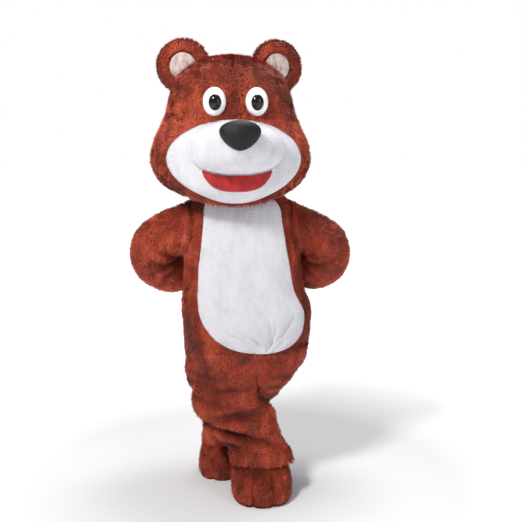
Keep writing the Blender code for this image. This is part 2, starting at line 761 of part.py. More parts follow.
def mitt_points(arm, inset=0.0):
    """Rings of the mitt, from the sleeve's end round to its closed tip."""
    wrist, direction, _, _ = arm_path(arm, np.array([1.0]))
    start = wrist[0] + direction[0] * SEAM_GAP
    knuckles = np.array(arm.knuckles)
    tip = np.array(arm.fingertips)
    tip = tip + (knuckles - tip) / np.linalg.norm(knuckles - tip) * inset
    part = np.linspace(0.0, 1.0, MITT_ROWS)[:, None]
    centre = start * (1 - part) ** 2 + 2 * knuckles * part * (1 - part) + tip * part**2
    last_ring = sleeve_points(arm, np.array([1.0]), inset)[0] + direction[0] * SEAM_GAP
    heading = 2 * (1 - part) * (knuckles - start) + 2 * part * (tip - knuckles)
    heading = heading / np.linalg.norm(heading, axis=1, keepdims=True)
    middle = last_ring.mean(axis=0)
    first_up = last_ring[0] - middle
    up = first_up - heading * (heading @ first_up)[:, None]
    up = up / np.linalg.norm(up, axis=1, keepdims=True)
    forward = np.cross(heading, up) * arm.side
    angles = np.linspace(0, 2 * math.pi, ARM_COLUMNS, endpoint=False)
    swell = column(MITT_PROFILE, "along", "swell", part[:, 0])
    half_across = (MITT_ACROSS - inset) * swell[:, None, None]
    half_deep = (MITT_DEEP - inset) * swell[:, None, None]
    rounds = (
        centre[:, None, :]
        + up[:, None, :] * np.cos(angles)[None, :, None] * half_across
        + forward[:, None, :] * np.sin(angles)[None, :, None] * half_deep
    )
    share = ease(part / MITT_BLEND)[:, :, None]
    points = last_ring[None] * (1 - share) + rounds * share
    return clear_of_torso(points, TORSO_CLEARANCE + inset, np.ones_like(part))


# Trouser legs


def leg_heights():
    return np.array(LEG_ROWS_ABOVE_CROTCH + [CROTCH] + LEG_ROWS_BELOW)


def legs_parted(points, height, side, inset):
    """Presses a leg's points back to its own side of the parting between the two legs."""
    turn = np.radians(column(LEG_PARTING, "height", "turn", height))
    own_x = side * np.cos(turn)
    own_y = side * np.sin(turn)
    middle_x = column(LEG_PARTING, "height", "x", height)
    middle_y = column(LEG_PARTING, "height", "y", height)
    away = (points[..., 0] - middle_x) * own_x + (points[..., 1] - middle_y) * own_y
    clear = away - LEG_SPREAD - inset
    pressed = (clear + np.sqrt(clear**2 + LEG_PRESS**2)) / 2
    shift = pressed - clear
    out = points.copy()
    out[..., 0] += shift * own_x
    out[..., 1] += shift * own_y
    return out


def hip_half(side, height, inset):
    """Half of the hip's outline at each height, from the middle front round the side to the back and across."""
    turn = np.radians(column(LEG_PARTING, "height", "turn", height))
    torso_turn = np.radians(column(TORSO, "height", "turn", height))
    gap = SEAM_GAP / 2 / column(TORSO, "height", "half_width", height)
    part = np.linspace(0.0, 1.0, LEG_OUTER_STEPS + 1)
    angles = turn - torso_turn + side * (gap + (math.pi - 2 * gap) * part)
    outer = torso_point(angles, height, inset)
    back, front = outer[:, -1:], outer[:, :1]
    across = np.linspace(0.0, 1.0, LEG_INNER_STEPS + 1)[1:-1][None, :, None]
    middle = back * (1 - across) + front * across
    away = np.stack([side * np.cos(turn), side * np.sin(turn), np.zeros_like(turn)], axis=-1)
    return np.concatenate([outer, middle + away * (LEG_SPREAD + inset)], axis=1)


def leg_section(rows, side, height, inset):
    """The leg's own rounded section at each height, its columns starting at the inner front."""
    start = LEG_START_TURN + side * (LEG_INNER_HALF_ANGLE - SIDE_SEAM)
    outer_span = 2 * math.pi - 2 * LEG_INNER_HALF_ANGLE
    outer = start + side * outer_span * np.linspace(0.0, 1.0, LEG_OUTER_STEPS + 1)
    inner_part = np.linspace(0.0, 1.0, LEG_INNER_STEPS + 1)[1:-1]
    inner = start + side * (outer_span + 2 * LEG_INNER_HALF_ANGLE * inner_part)
    across, ahead = rounded(np.concatenate([outer, inner]), LEG_POWER)
    shares = np.linspace(0.0, 1.0, LEG_COLUMNS, endpoint=False)[None, :]
    pressed = fold_depth(LEG_FOLDS, height, shares, 1.0, LEG_GIRTH) + inset
    x = column(rows, "height", "x", height) + (column(rows, "height", "half_width", height) - pressed) * across
    y = column(rows, "height", "y", height) - (column(rows, "height", "half_depth", height) - pressed) * ahead
    return np.stack(np.broadcast_arrays(x, y, height), axis=-1)


def leg_points(rows, side, heights, inset=0.0):
    height = heights[:, None]
    hips = hip_half(side, height, inset)
    own = legs_parted(leg_section(rows, side, height, inset), height, side, inset)
    share = ease((LEG_BLEND_TOP - height) / LEG_BLEND_HEIGHT)[:, :, None]
    return hips * (1 - share) + own * share


def build_legs(collection):
    heights = leg_heights()

    def above_crotch(face):
        row, place = divmod(face[0], LEG_COLUMNS)
        return row < len(LEG_ROWS_ABOVE_CROTCH) and place >= LEG_OUTER_STEPS

    for name, rows, side in (("leg_right", LEG_RIGHT, -1), ("leg_left", LEG_LEFT, 1)):
        add_wall(
            name,
            lambda inset, rows=rows, side=side: leg_points(rows, side, heights, inset),
            len(heights), LEG_COLUMNS, FUR_WALL, "brown_fur", collection, wrap=True, drop=above_crotch,
        )


# Feet


def foot_angles():
    even = np.linspace(0, 2 * math.pi, FOOT_COLUMNS, endpoint=False)
    return even - TOE_CROWDING * np.sin(even)


def toe_creases(angles):
    """How far the outline is drawn in between the toes: 1 on each of the two creases."""
    crease = foot_angles()[TOE_CREASE_COLUMN]
    off = np.abs(np.abs((angles + math.pi) % (2 * math.pi) - math.pi) - crease)
    near = np.clip(1 - off / crease, 0.0, 1.0)
    return 1 - np.sqrt(1 - near**2)


def foot_mesh(name, place):
    angles = foot_angles()
    across, ahead = rounded(angles, FOOT_POWER)
    depth = np.where(ahead > 0, place.front, place.back)
    rings = []
    for row in FOOT_PROFILE:
        reach_x = ANKLE_HALF_WIDTH * (1 - row.reach) + place.half_width * row.reach
        reach_y = ANKLE_HALF_DEPTH * (1 - row.reach) + depth * row.reach
        creased = ease((row.reach - TOE_CREASE_START) / (1 - TOE_CREASE_START))
        drawn_in = 1 - TOE_CREASE_DEPTH / place.front * toe_creases(angles) * creased
        x = reach_x * across * drawn_in
        y = -reach_y * ahead * drawn_in
        z = row.height * (1 - TOE_CREASE_DROP * toe_creases(angles) * creased)
        rings.append(np.stack([x, y, z], axis=-1))
    rings.append(np.zeros((FOOT_COLUMNS, 3)))
    points = turned(np.array(rings), math.radians(place.turn))
    points = points.reshape(-1, 3) + np.array([place.x, place.y, -SHOULDER_HEIGHT])
    mesh = bpy.data.meshes.new(name)
    mesh.from_pydata(points.tolist(), [], grid_faces(len(rings), FOOT_COLUMNS, wrap=True))
    mesh.flip_normals()
    return weld(mesh, turn_outward=False)


def build_feet(collection):
    for place in (FOOT_RIGHT, FOOT_LEFT):
        foot = add_object(f"foot_{place.side}", foot_mesh(f"foot_{place.side}", place), "brown_fur", collection)
        thickness = foot.modifiers.new("wall", "SOLIDIFY")
        thickness.thickness = FUR_WALL
        thickness.offset = -1.0


# Head skin


def head_knots():
    """How far down the head's side each row of its table lies, from the crown, 0, to the neck's edge, 1."""
    sides = [(row.half_width, row.height) for row in HEAD]
    steps = [math.dist(above, below) for above, below in zip(sides, sides[1:])]
    return np.concatenate([[0.0], np.cumsum(steps)]) / sum(steps)


HEAD_KNOTS = head_knots()


def head_value(field, place):
    return smooth(HEAD_KNOTS, [getattr(row, field) for row in HEAD], place)


def head_skin(angle, place):
    """A point of the head's outer face, at an angle from the nose and a place between crown and neck."""
    across, ahead = rounded(angle, HEAD_POWER)
    x = head_value("half_width", place) * across
    y = -np.where(ahead > 0, head_value("front", place), head_value("back", place)) * ahead
    drop = head_value("chin_drop", place) * np.where(ahead > 0, ahead, 0.0) ** 2
    return np.stack(np.broadcast_arrays(x, y, head_value("height", place) - drop), axis=-1)


def outward(surface, angle, place):
    """The direction straight out of a surface of the head."""
    around = surface(angle + OUTWARD_STEP, place) - surface(angle - OUTWARD_STEP, place)
    low = np.maximum(place - OUTWARD_STEP, 0.0)
    high = np.minimum(place + OUTWARD_STEP, 1.0)
    down = surface(angle, high) - surface(angle, low)
    straight = np.cross(down, around)
    length = np.linalg.norm(straight, axis=-1, keepdims=True)
    upward = np.array([0.0, 0.0, 1.0])
    return np.where(length > 1e-9, straight / np.maximum(length, 1e-9), upward)


def head_point(angle, place, out=0.0):
    angle, place = np.broadcast_arrays(angle, place)
    return head_skin(angle, place) + outward(head_skin, angle, place) * out


def on_stand(points):
    """Points of the head's frame, turned with the head and set over the shoulders."""
    return turned(points, HEAD_TURN) + np.array(HEAD_CENTRE)


def face_turns():
    return np.linspace(0, math.pi, FACE_ROWS + 1)


def hood_places():
    opening = FACE_CENTRE - FACE_HALF_SPAN * np.cos(face_turns())
    return np.concatenate([HOOD_PLACES_ABOVE, opening, HOOD_PLACES_BELOW])


def hood_front_edge(place):
    part = np.clip(np.abs(place - FACE_CENTRE) / FACE_HALF_SPAN, 0.0, 1.0)
    return FACE_HALF_ANGLE * np.sqrt(1 - part**2)


def hood_points(side, inset):
    places = hood_places()
    gap = SEAM_GAP / np.maximum(head_value("half_width", places), LEAST_HALF_WIDTH)
    part = np.linspace(0.0, 1.0, HOOD_COLUMNS)
    low = hood_front_edge(places) + gap
    high = math.pi - gap
    angles = side * np.sqrt(low[:, None] ** 2 * (1 - part**2) + high[:, None] ** 2 * part**2)
    points = head_point(angles, places[:, None], -inset)
    points[0, :, 0] = side * SEAM_GAP
    return on_stand(points)


def build_hood(collection):
    for name, side in (("hood_left", 1), ("hood_right", -1)):
        add_wall(
            name,
            lambda inset, side=side: hood_points(side, inset),
            len(hood_places()), HOOD_COLUMNS, HEAD_WALL, "brown_fur", collection,
        )


# Face panel, muzzle and mouth


def face_reach(angle, place):
    """How far a place lies from the middle of the face panel, 0, towards its edge, 1."""
    return np.hypot(angle / FACE_HALF_ANGLE, (place - FACE_CENTRE) / FACE_HALF_SPAN)


def face_relief(angle, place):
    """How far the padded face panel stands out of the head's skin."""
    reach = np.clip(face_reach(angle, place), 0.0, 1.0)
    low = ease((place - FACE_CENTRE) / FACE_HALF_SPAN * JAW_EASE)
    return (FACE_PADDING + JAW_PADDING * low) * (1 - reach**2) - PLUSH_RECESS * reach**4


def face_skin(angle, place):
    angle, place = np.broadcast_arrays(angle, place)
    return head_point(angle, place, face_relief(angle, place)[..., None])


def face_point(angle, place, out=0.0):
    angle, place = np.broadcast_arrays(angle, place)
    return face_skin(angle, place) + outward(face_skin, angle, place) * out


def face_grid(rings, columns, scale):
    """Angles and places of rings from the panel's edge, scale 1, to its middle."""
    reach = np.linspace(scale, 0.0, rings)[:, None]
    turn = np.linspace(0, 2 * math.pi, columns, endpoint=False)[None, :]
    return FACE_HALF_ANGLE * reach * np.sin(turn), FACE_CENTRE - FACE_HALF_SPAN * reach * np.cos(turn)


def build_face(collection):
    columns = 2 * FACE_ROWS
    edge_share = 1 - 2 * SEAM_GAP / FACE_EDGE_REACH
    angles, places = face_grid(FACE_RINGS, columns, edge_share)
    add_wall(
        "face_panel",
        lambda inset: on_stand(face_point(angles, places, -inset)),
        FACE_RINGS, columns, PLUSH_WALL, "white_plush", collection, wrap=True,
    )
    add_wall(
        "muzzle",
        lambda inset: on_stand(muzzle_points(inset)),
        MUZZLE_RINGS, MUZZLE_COLUMNS, MUZZLE_WALL, "white_plush", collection, wrap=True,
    )
    add_wall(
        "mouth",
        lambda inset: on_stand(mouth_points(inset)),
        MOUTH_ROWS, MOUTH_COLUMNS, MOUTH_WALL, "red_felt", collection,
    )


def muzzle_points(inset):
    """The muzzle's dome, from its edge on the face panel to its tip, pushed straight ahead."""
    reach = np.cos(np.linspace(0, math.pi / 2, MUZZLE_RINGS))[:, None]
    turn = np.linspace(0, 2 * math.pi, MUZZLE_COLUMNS, endpoint=False)[None, :]
    across, ahead = rounded(turn, MUZZLE_POWER)
    shrink = 1 - inset / MUZZLE_EDGE_REACH
    angles = MUZZLE_HALF_ANGLE * reach * across * shrink
    places = MUZZLE_CENTRE - MUZZLE_HALF_SPAN * reach * ahead * shrink
    base = face_point(angles, places, MUZZLE_SEAT)
    rise = (MUZZLE_REACH - inset) * np.sqrt(np.clip(1 - reach**2, 0.0, 1.0)) ** MUZZLE_TIP_POWER
    return base + MUZZLE_AHEAD * rise[..., None]


def mouth_points(inset):
    """A half moon on the face panel, hung from just under the muzzle's edge."""
    part = np.linspace(-1.0, 1.0, MOUTH_COLUMNS)[None, :]
    angles = MOUTH_HALF_ANGLE * part
    across = np.clip(np.abs(angles / MUZZLE_HALF_ANGLE), 0.0, 1.0)
    lip = MUZZLE_CENTRE + MUZZLE_HALF_SPAN * (1 - across**MUZZLE_POWER) ** (1 / MUZZLE_POWER) + MOUTH_DROP
    down = np.linspace(0.0, 1.0, MOUTH_ROWS)[:, None]
    depth = MOUTH_SPAN * np.sqrt(1 - part**4 * MOUTH_CORNER)
    out = 2 * SEAM_GAP + MOUTH_WALL - inset
    return face_point(np.broadcast_to(angles, (MOUTH_ROWS, MOUTH_COLUMNS)), lip + depth * down, out)


# Eyes, nose and ears


def head_frame(point, roll=0.0, yaw=0.0):
    """A frame at a point of the head's own frame, turned with the head."""
    place = Vector(on_stand(np.array(point)).tolist())
    place.z -= SHOULDER_HEIGHT
    turn = Matrix.Rotation(HEAD_TURN + yaw, 4, "Z") @ Matrix.Rotation(roll, 4, "Y")
    return Matrix.Translation(place) @ turn


def ellipsoid_mesh(name, size, segments, rings):
    work = bmesh.new()
    bmesh.ops.create_uvsphere(work, u_segments=segments, v_segments=rings, radius=1.0)
    bmesh.ops.scale(work, vec=size, verts=work.verts)
    mesh = bpy.data.meshes.new(name)
    work.to_mesh(mesh)
    work.free()
    return mesh


def cut_by(target, cutter):
    cut = target.modifiers.new("seat", "BOOLEAN")
    cut.operation = "DIFFERENCE"
    cut.object = cutter


def add_cutter(name, mesh, cutters):
    cutter = bpy.data.objects.new(name, mesh)
    cutter.hide_render = True
    cutter.display_type = "WIRE"
    cutters.objects.link(cutter)
    return cutter


def head_volume(cutters):
    """A closed body of the hood's own outer faces, a seam's gap larger, that seats what lies on it."""
    points = np.concatenate([hood_points(1, -2 * SEAM_GAP), hood_points(-1, -2 * SEAM_GAP)[:, ::-1]], axis=1)
    points[..., 2] -= SHOULDER_HEIGHT
    rows, columns = points.shape[:2]
    faces = grid_faces(rows, columns, wrap=True)
    faces.append(tuple(range((rows - 1) * columns, rows * columns)))
    mesh = bpy.data.meshes.new("head_volume")
    mesh.from_pydata(points.reshape(-1, 3).tolist(), [], faces)
    return add_cutter("head_volume", weld(mesh, 3 * SEAM_GAP), cutters)


def build_eyes(collection, cutters, head_cutter):
    for name, side in (("left", 1), ("right", -1)):
        centre = head_point(np.array(side * EYE_ANGLE), np.array(EYE_PLACE), EYE_LIFT)
        frame = head_frame(centre, yaw=side * EYE_ANGLE * EYE_TURN_SHARE)
        eye = add_object(f"eye_{name}", ellipsoid_mesh(f"eye_{name}", EYE_SIZE, 16, 8), "eye_white", collection)
        eye.matrix_world = frame
        cut_by(eye, head_cutter)
        seat_size = EYE_SIZE + Vector((SEAM_GAP, SEAM_GAP, SEAM_GAP)) * 2
        seat = add_cutter(f"eye_{name}_volume", ellipsoid_mesh(f"eye_{name}_volume", seat_size, 32, 16), cutters)
        seat.matrix_world = frame
        pupil_mesh = ellipsoid_mesh(f"pupil_{name}", PUPIL_SIZE, 14, 8)
        pupil = add_object(f"pupil_{name}", pupil_mesh, "black_pad", collection)
        ahead = (-side * PUPIL_PLACE.x, PUPIL_PLACE.y - EYE_SIZE.y, PUPIL_PLACE.z)
        pupil.matrix_world = frame @ Matrix.Translation(ahead)
        cut_by(pupil, seat)


def build_nose(collection, cutters):
    """A rounded triangle, broad above, on the muzzle's tip."""
    tip = muzzle_points(0.0)[-1, 0]
    frame = head_frame(tip + NOSE_PLACE)
    mesh = ellipsoid_mesh("nose", NOSE_SIZE, 16, 10)
    for corner in mesh.vertices:
        corner.co.x *= NOSE_WIDTH_SHARE + NOSE_TOP_SPREAD * corner.co.z / NOSE_SIZE.z
    nose = add_object("nose", mesh, "black_pad", collection)
    nose.matrix_world = frame
    rings, columns = MUZZLE_RINGS, MUZZLE_COLUMNS
    points = muzzle_points(-2 * SEAM_GAP)
    back = points[:1] + np.array([0.0, 0.05, 0.0])
    points = on_stand(np.concatenate([back, points]))
    points[..., 2] -= SHOULDER_HEIGHT
    faces = grid_faces(rings + 1, columns, wrap=True) + [tuple(range(columns))]
    volume = bpy.data.meshes.new("muzzle_volume")
    volume.from_pydata(points.reshape(-1, 3).tolist(), [], faces)
    cut_by(nose, add_cutter("muzzle_volume", weld(volume), cutters))


def turned_disc(name, profile, steps, finish, collection):
    """A profile of radius and depth turned round the ear's own Y axis."""
    mesh = bpy.data.meshes.new(name)
    points = [(row.radius, 0.0, -row.depth) for row in profile]
    mesh.from_pydata(points, [(i, i + 1) for i in range(len(points) - 1)], [])
    disc = add_object(name, mesh, finish, collection)
    screw = disc.modifiers.new("turn", "SCREW")
    screw.axis = "Z"
    screw.steps = steps
    screw.render_steps = steps
    screw.use_merge_vertices = True
    screw.merge_threshold = SEAM_GAP / 3
    screw.use_normal_calculate = True
    return disc


def build_ears(collection, head_cutter):
    for name, side in (("left", 1), ("right", -1)):
        centre = Vector((side * EAR_CENTRE.x, EAR_CENTRE.y, EAR_CENTRE.z))
        frame = head_frame(centre, roll=side * EAR_ROLL, yaw=side * EAR_YAW)
        frame = frame @ Matrix.Rotation(math.radians(90), 4, "X")
        ear = turned_disc(f"ear_{name}", EAR_PROFILE, EAR_STEPS, "brown_fur", collection)
        ear.matrix_world = frame
        cut_by(ear, head_cutter)
        pad = turned_disc(f"inner_ear_{name}", INNER_EAR_PROFILE, INNER_EAR_STEPS, "pale_plush", collection)
        pad.matrix_world = frame
        cut_by(pad, head_cutter)


def main():
    clear_scene()
    costume = new_collection("bear_mascot_costume")
    cutters = new_collection("cutters")
    build_torso(costume)
    build_zip(costume)
    build_slider(costume)
    build_arms(costume)
    build_legs(costume)
    build_feet(costume)
    build_hood(costume)
    build_face(costume)
    head_cutter = head_volume(cutters)
    build_eyes(costume, cutters, head_cutter)
    build_nose(costume, cutters)
    build_ears(costume, head_cutter)


main()
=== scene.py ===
"""Dresses the bear mascot costume: plush with its pile, padded head, glossy eyes, back zip and studio."""

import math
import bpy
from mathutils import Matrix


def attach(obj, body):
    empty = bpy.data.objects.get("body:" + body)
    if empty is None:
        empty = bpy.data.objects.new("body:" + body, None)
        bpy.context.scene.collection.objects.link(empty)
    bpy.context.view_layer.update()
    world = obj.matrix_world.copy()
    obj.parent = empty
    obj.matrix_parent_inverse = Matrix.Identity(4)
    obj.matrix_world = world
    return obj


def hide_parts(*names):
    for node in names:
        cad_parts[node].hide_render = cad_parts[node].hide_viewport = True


bl_info = {
    "name": "Bear mascot costume",
    "version": (1, 0, 0),
    "blender": (4, 5, 0),
    "location": "View3D > Sidebar > Costume",
    "description": "Builds the plush, the head and the studio of a bear mascot costume",
    "category": "Add Mesh",
}

from collections import namedtuple

import bmesh
import bpy
import numpy as np
from mathutils import Matrix, Vector

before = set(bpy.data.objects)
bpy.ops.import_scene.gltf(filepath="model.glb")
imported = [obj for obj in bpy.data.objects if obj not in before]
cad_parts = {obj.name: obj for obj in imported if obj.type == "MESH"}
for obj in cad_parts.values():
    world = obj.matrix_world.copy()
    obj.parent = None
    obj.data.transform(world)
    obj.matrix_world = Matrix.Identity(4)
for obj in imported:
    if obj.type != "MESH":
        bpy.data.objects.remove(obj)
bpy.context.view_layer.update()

# How finely each piece is divided: rows along it, columns around it
NECK_ROWS = 5
SHOULDER_ROWS = 2
ARMHOLE_ROWS = 20
SIDE_ROWS = 18
BELLY_END_ROWS = 30
SEAT_ROWS = 6
PANEL_COLUMNS = 22
BELLY_COLUMNS = 121
ARM_COLUMNS = 2 * ARMHOLE_ROWS
SLEEVE_ROWS = 48
MITT_ROWS = 26
LEG_OUTER_STEPS = 48
LEG_INNER_STEPS = 18
LEG_COLUMNS = LEG_OUTER_STEPS + LEG_INNER_STEPS
LEG_ROWS = 64
HIP_ROWS = 10
FOOT_COLUMNS = 96
FOOT_ROWS = 30
FOOT_BARE_ROWS = 5
SOLE_RINGS = 6
ZIP_TAPE_ROWS = 60
ZIP_TAPE_COLUMNS = 7
FACE_ROWS = 32
FACE_RINGS = 18
HOOD_COLUMNS = 40
HOOD_ROWS_ABOVE = 22
HOOD_ROWS_BELOW = 9
MUZZLE_RINGS = 26
MUZZLE_COLUMNS = 72
MOUTH_ROWS = 10
MOUTH_COLUMNS = 40
EYE_DIVISIONS = (48, 24)
PUPIL_DIVISIONS = (40, 20)
NOSE_DIVISIONS = (64, 32)
EAR_STEPS = 64
EAR_ROWS = 44
INNER_EAR_ROWS = 16
FLOOR_STEPS = 64

# Cloth, pile and seams, in metres
SHOULDER_HEIGHT = 1.24
PILE_ROOT = 0.0085
CLOTH_BACK = 0.0115
FOAM_FACE = 0.0118
FOAM_BACK = 0.0238
WHITE_PILE = 0.0004
WHITE_BACK = 0.0030
SEAM_GAP = 0.0003
PLUSH_RECESS = 0.006
SEAM_SHADE_STEPS = 0.9
HOOD_SEAM_SHADE = 0.5
WELD = 1e-5
LEAST_LENGTH = 1e-9

# Body of the suit: heights from the floor, sizes in metres, turns and half angles in degrees
NECK_EDGE = 1.272
HIP_SEAM = 0.550
BELLY_WIDEST = 0.780
BELLY_BOTTOM = 0.612
CROTCH = 0.480
ARMHOLE_CENTRE = 1.096
ARMHOLE_HALF_HEIGHT = 0.110
ARMHOLE_HALF_ANGLE = math.radians(30)
SIDE_SEAM = math.radians(90)
BELLY_BOTTOM_ANGLE = math.radians(52)
TORSO_POWER = 2.15
LEG_POWER = 2.15
FOOT_POWER = 2.4
BELLY_CORNER_POWER = 2.2
TorsoRow = namedtuple("TorsoRow", "height x y half_width front back turn")
TORSO = [
    TorsoRow(0.400, -0.037, 0.000, 0.197, 0.165, 0.155, 15.5),
    TorsoRow(0.450, -0.030, 0.000, 0.216, 0.165, 0.162, 15.5),
    TorsoRow(0.500, -0.020, 0.000, 0.238, 0.168, 0.170, 15.5),
    TorsoRow(0.550, 0.000, 0.000, 0.254, 0.178, 0.180, 15.5),
    TorsoRow(0.610, 0.004, 0.000, 0.262, 0.200, 0.187, 15.5),
    TorsoRow(0.680, 0.006, 0.000, 0.268, 0.222, 0.188, 14.0),
    TorsoRow(0.760, 0.004, 0.000, 0.271, 0.228, 0.182, 10.0),
    TorsoRow(0.860, -0.008, 0.002, 0.252, 0.214, 0.168, 5.0),
    TorsoRow(0.960, -0.012, 0.004, 0.242, 0.196, 0.158, 4.0),
    TorsoRow(1.050, -0.015, 0.006, 0.238, 0.184, 0.154, 4.0),
    TorsoRow(1.120, -0.017, 0.008, 0.228, 0.170, 0.150, 4.0),
    TorsoRow(1.180, -0.020, 0.010, 0.220, 0.152, 0.140, 4.0),
    TorsoRow(1.222, -0.026, 0.012, 0.190, 0.130, 0.124, 4.0),
    TorsoRow(1.252, -0.032, 0.014, 0.146, 0.114, 0.108, 4.0),
    TorsoRow(1.275, -0.036, 0.016, 0.122, 0.104, 0.100, 4.0),
]
BellyRow = namedtuple("BellyRow", "height half_angle")
BELLY = [
    BellyRow(0.780, 52.0),
    BellyRow(0.870, 50.0),
    BellyRow(0.950, 49.0),
    BellyRow(1.040, 45.0),
    BellyRow(1.110, 44.0),
    BellyRow(1.180, 44.0),
    BellyRow(1.275, 40.0),
]

# Zip: the tape, the teeth and the stitches
ZIP_TOP = 1.220
ZIP_BOTTOM = 0.728
ZIP_SLOT_WIDTH = 0.016
ZIP_TAPE_DEPTH = 0.005
ZIP_TAPE_FACE = 0.0004
ZIP_TAPE_BACK = 0.0014
ZIP_TAPE_END = 0.001
TOOTH_SIZE = (0.0030, 0.0014)
TOOTH_SHARE = 0.42
TOOTH_OFFSET = 0.0009
TOOTH_RISE = 0.0003
STITCH_SIZE = (0.0008, 0.0007, 0.0026)
STITCH_OFFSET = 0.0058
STITCH_PITCH = 0.0042
STITCH_DEPTH = 0.0001
FACING_STEP = 0.01

# Legs, and the parting between them
HEM = 0.1493
LegRow = namedtuple("LegRow", "height x y half_width half_depth")
LEG_RIGHT = [
    LegRow(0.120, 0.070, -0.115, 0.144, 0.098),
    LegRow(0.170, 0.062, -0.112, 0.136, 0.092),
    LegRow(0.220, 0.030, -0.106, 0.138, 0.089),
    LegRow(0.260, -0.004, -0.100, 0.153, 0.088),
    LegRow(0.300, -0.028, -0.096, 0.164, 0.090),
    LegRow(0.350, -0.045, -0.086, 0.172, 0.096),
    LegRow(0.400, -0.070, -0.062, 0.162, 0.112),
    LegRow(0.450, -0.100, -0.030, 0.146, 0.132),
    LegRow(0.500, -0.125, -0.010, 0.132, 0.152),
]
LEG_LEFT = [
    LegRow(0.120, -0.084, 0.122, 0.120, 0.102),
    LegRow(0.170, -0.080, 0.120, 0.118, 0.098),
    LegRow(0.220, -0.068, 0.115, 0.119, 0.095),
    LegRow(0.260, -0.048, 0.108, 0.120, 0.094),
    LegRow(0.300, -0.018, 0.100, 0.120, 0.094),
    LegRow(0.350, 0.016, 0.086, 0.118, 0.096),
    LegRow(0.400, 0.045, 0.062, 0.116, 0.110),
    LegRow(0.450, 0.076, 0.030, 0.120, 0.130),
    LegRow(0.500, 0.105, 0.010, 0.126, 0.150),
]
PartingRow = namedtuple("PartingRow", "height x y turn")
LEG_PARTING = [
    PartingRow(0.120, -0.010, 0.010, 114.0),
    PartingRow(0.200, -0.018, 0.006, 108.0),
    PartingRow(0.250, -0.020, 0.004, 100.0),
    PartingRow(0.300, -0.020, 0.002, 90.0),
    PartingRow(0.350, -0.018, 0.000, 72.0),
    PartingRow(0.400, -0.037, 0.000, 45.0),
    PartingRow(0.450, -0.030, 0.000, 27.0),
    PartingRow(0.500, -0.020, 0.000, 15.5),
    PartingRow(0.550, 0.000, 0.000, 15.5),
]
LEG_BLEND_HEIGHT = 0.120
LEG_BLEND_TOP = CROTCH + 0.02
LEG_INNER_HALF_ANGLE = math.radians(55)
LEG_START_TURN = math.radians(25)
LEG_PRESS = 0.018
LEG_SPREAD = 0.0015

# Arms and mitts
ArmRow = namedtuple("ArmRow", "along across deep")
ARM_SIZES = [
    ArmRow(0.00, 0.110, 0.094),
    ArmRow(0.30, 0.116, 0.102),
    ArmRow(0.55, 0.114, 0.104),
    ArmRow(0.80, 0.104, 0.094),
    ArmRow(1.00, 0.078, 0.070),
]
Arm = namedtuple("Arm", "side shoulder elbow wrist knuckles fingertips bend_radius")
ARM_RIGHT = Arm(
    -1,
    Vector((-0.250, 0.018, 1.108)),
    Vector((-0.422, 0.026, 1.002)),
    Vector((-0.296, 0.170, 0.856)),
    Vector((-0.225, 0.236, 0.824)),
    Vector((-0.130, 0.266, 0.810)),
    0.118,
)
ARM_LEFT = Arm(
    1,
    Vector((0.220, 0.018, 1.108)),
    Vector((0.368, 0.026, 1.004)),
    Vector((0.264, 0.170, 0.872)),
    Vector((0.205, 0.236, 0.836)),
    Vector((0.115, 0.266, 0.818)),
    0.118,
)
ARM_BLEND = 0.34
ARMHOLE_BLEND = 0.14
TORSO_CLEARANCE = 0.003
TORSO_PUSH_LIMIT = 0.6
MITT_ACROSS = 0.058
MITT_DEEP = 0.042
MITT_BLEND = 0.3
MittRow = namedtuple("MittRow", "along swell")
MITT_PROFILE = [
    MittRow(0.00, 0.94),
    MittRow(0.25, 0.96),
    MittRow(0.55, 1.06),
    MittRow(0.80, 0.86),
    MittRow(0.94, 0.48),
    MittRow(1.00, 0.00),
]

# Foot covers and their soles
FootPlace = namedtuple("FootPlace", "side x y half_width front back turn")
FOOT_RIGHT = FootPlace("right", 0.067, -0.110, 0.128, 0.166, 0.122, 3.0)
FOOT_LEFT = FootPlace("left", -0.098, 0.122, 0.112, 0.131, 0.135, -4.0)
FootRow = namedtuple("FootRow", "reach height")
FOOT_PROFILE = [
    FootRow(0.00, 0.178),
    FootRow(0.10, 0.153),
    FootRow(0.30, 0.144),
    FootRow(0.55, 0.135),
    FootRow(0.78, 0.117),
    FootRow(0.94, 0.087),
    FootRow(1.00, 0.052),
    FootRow(0.985, 0.018),
    FootRow(0.93, 0.000),
]
ANKLE_HALF_WIDTH = 0.078
ANKLE_HALF_DEPTH = 0.066
TOE_CREASE_DEPTH = 0.020
TOE_CREASE_START = 0.300
TOE_CREASE_DROP = 0.13
TOE_CREASE_ANGLE = 0.2986
TOE_CROWDING = 0.45
SOLE_BOTTOM = 0.0005
SOLE_TOP = 0.0060

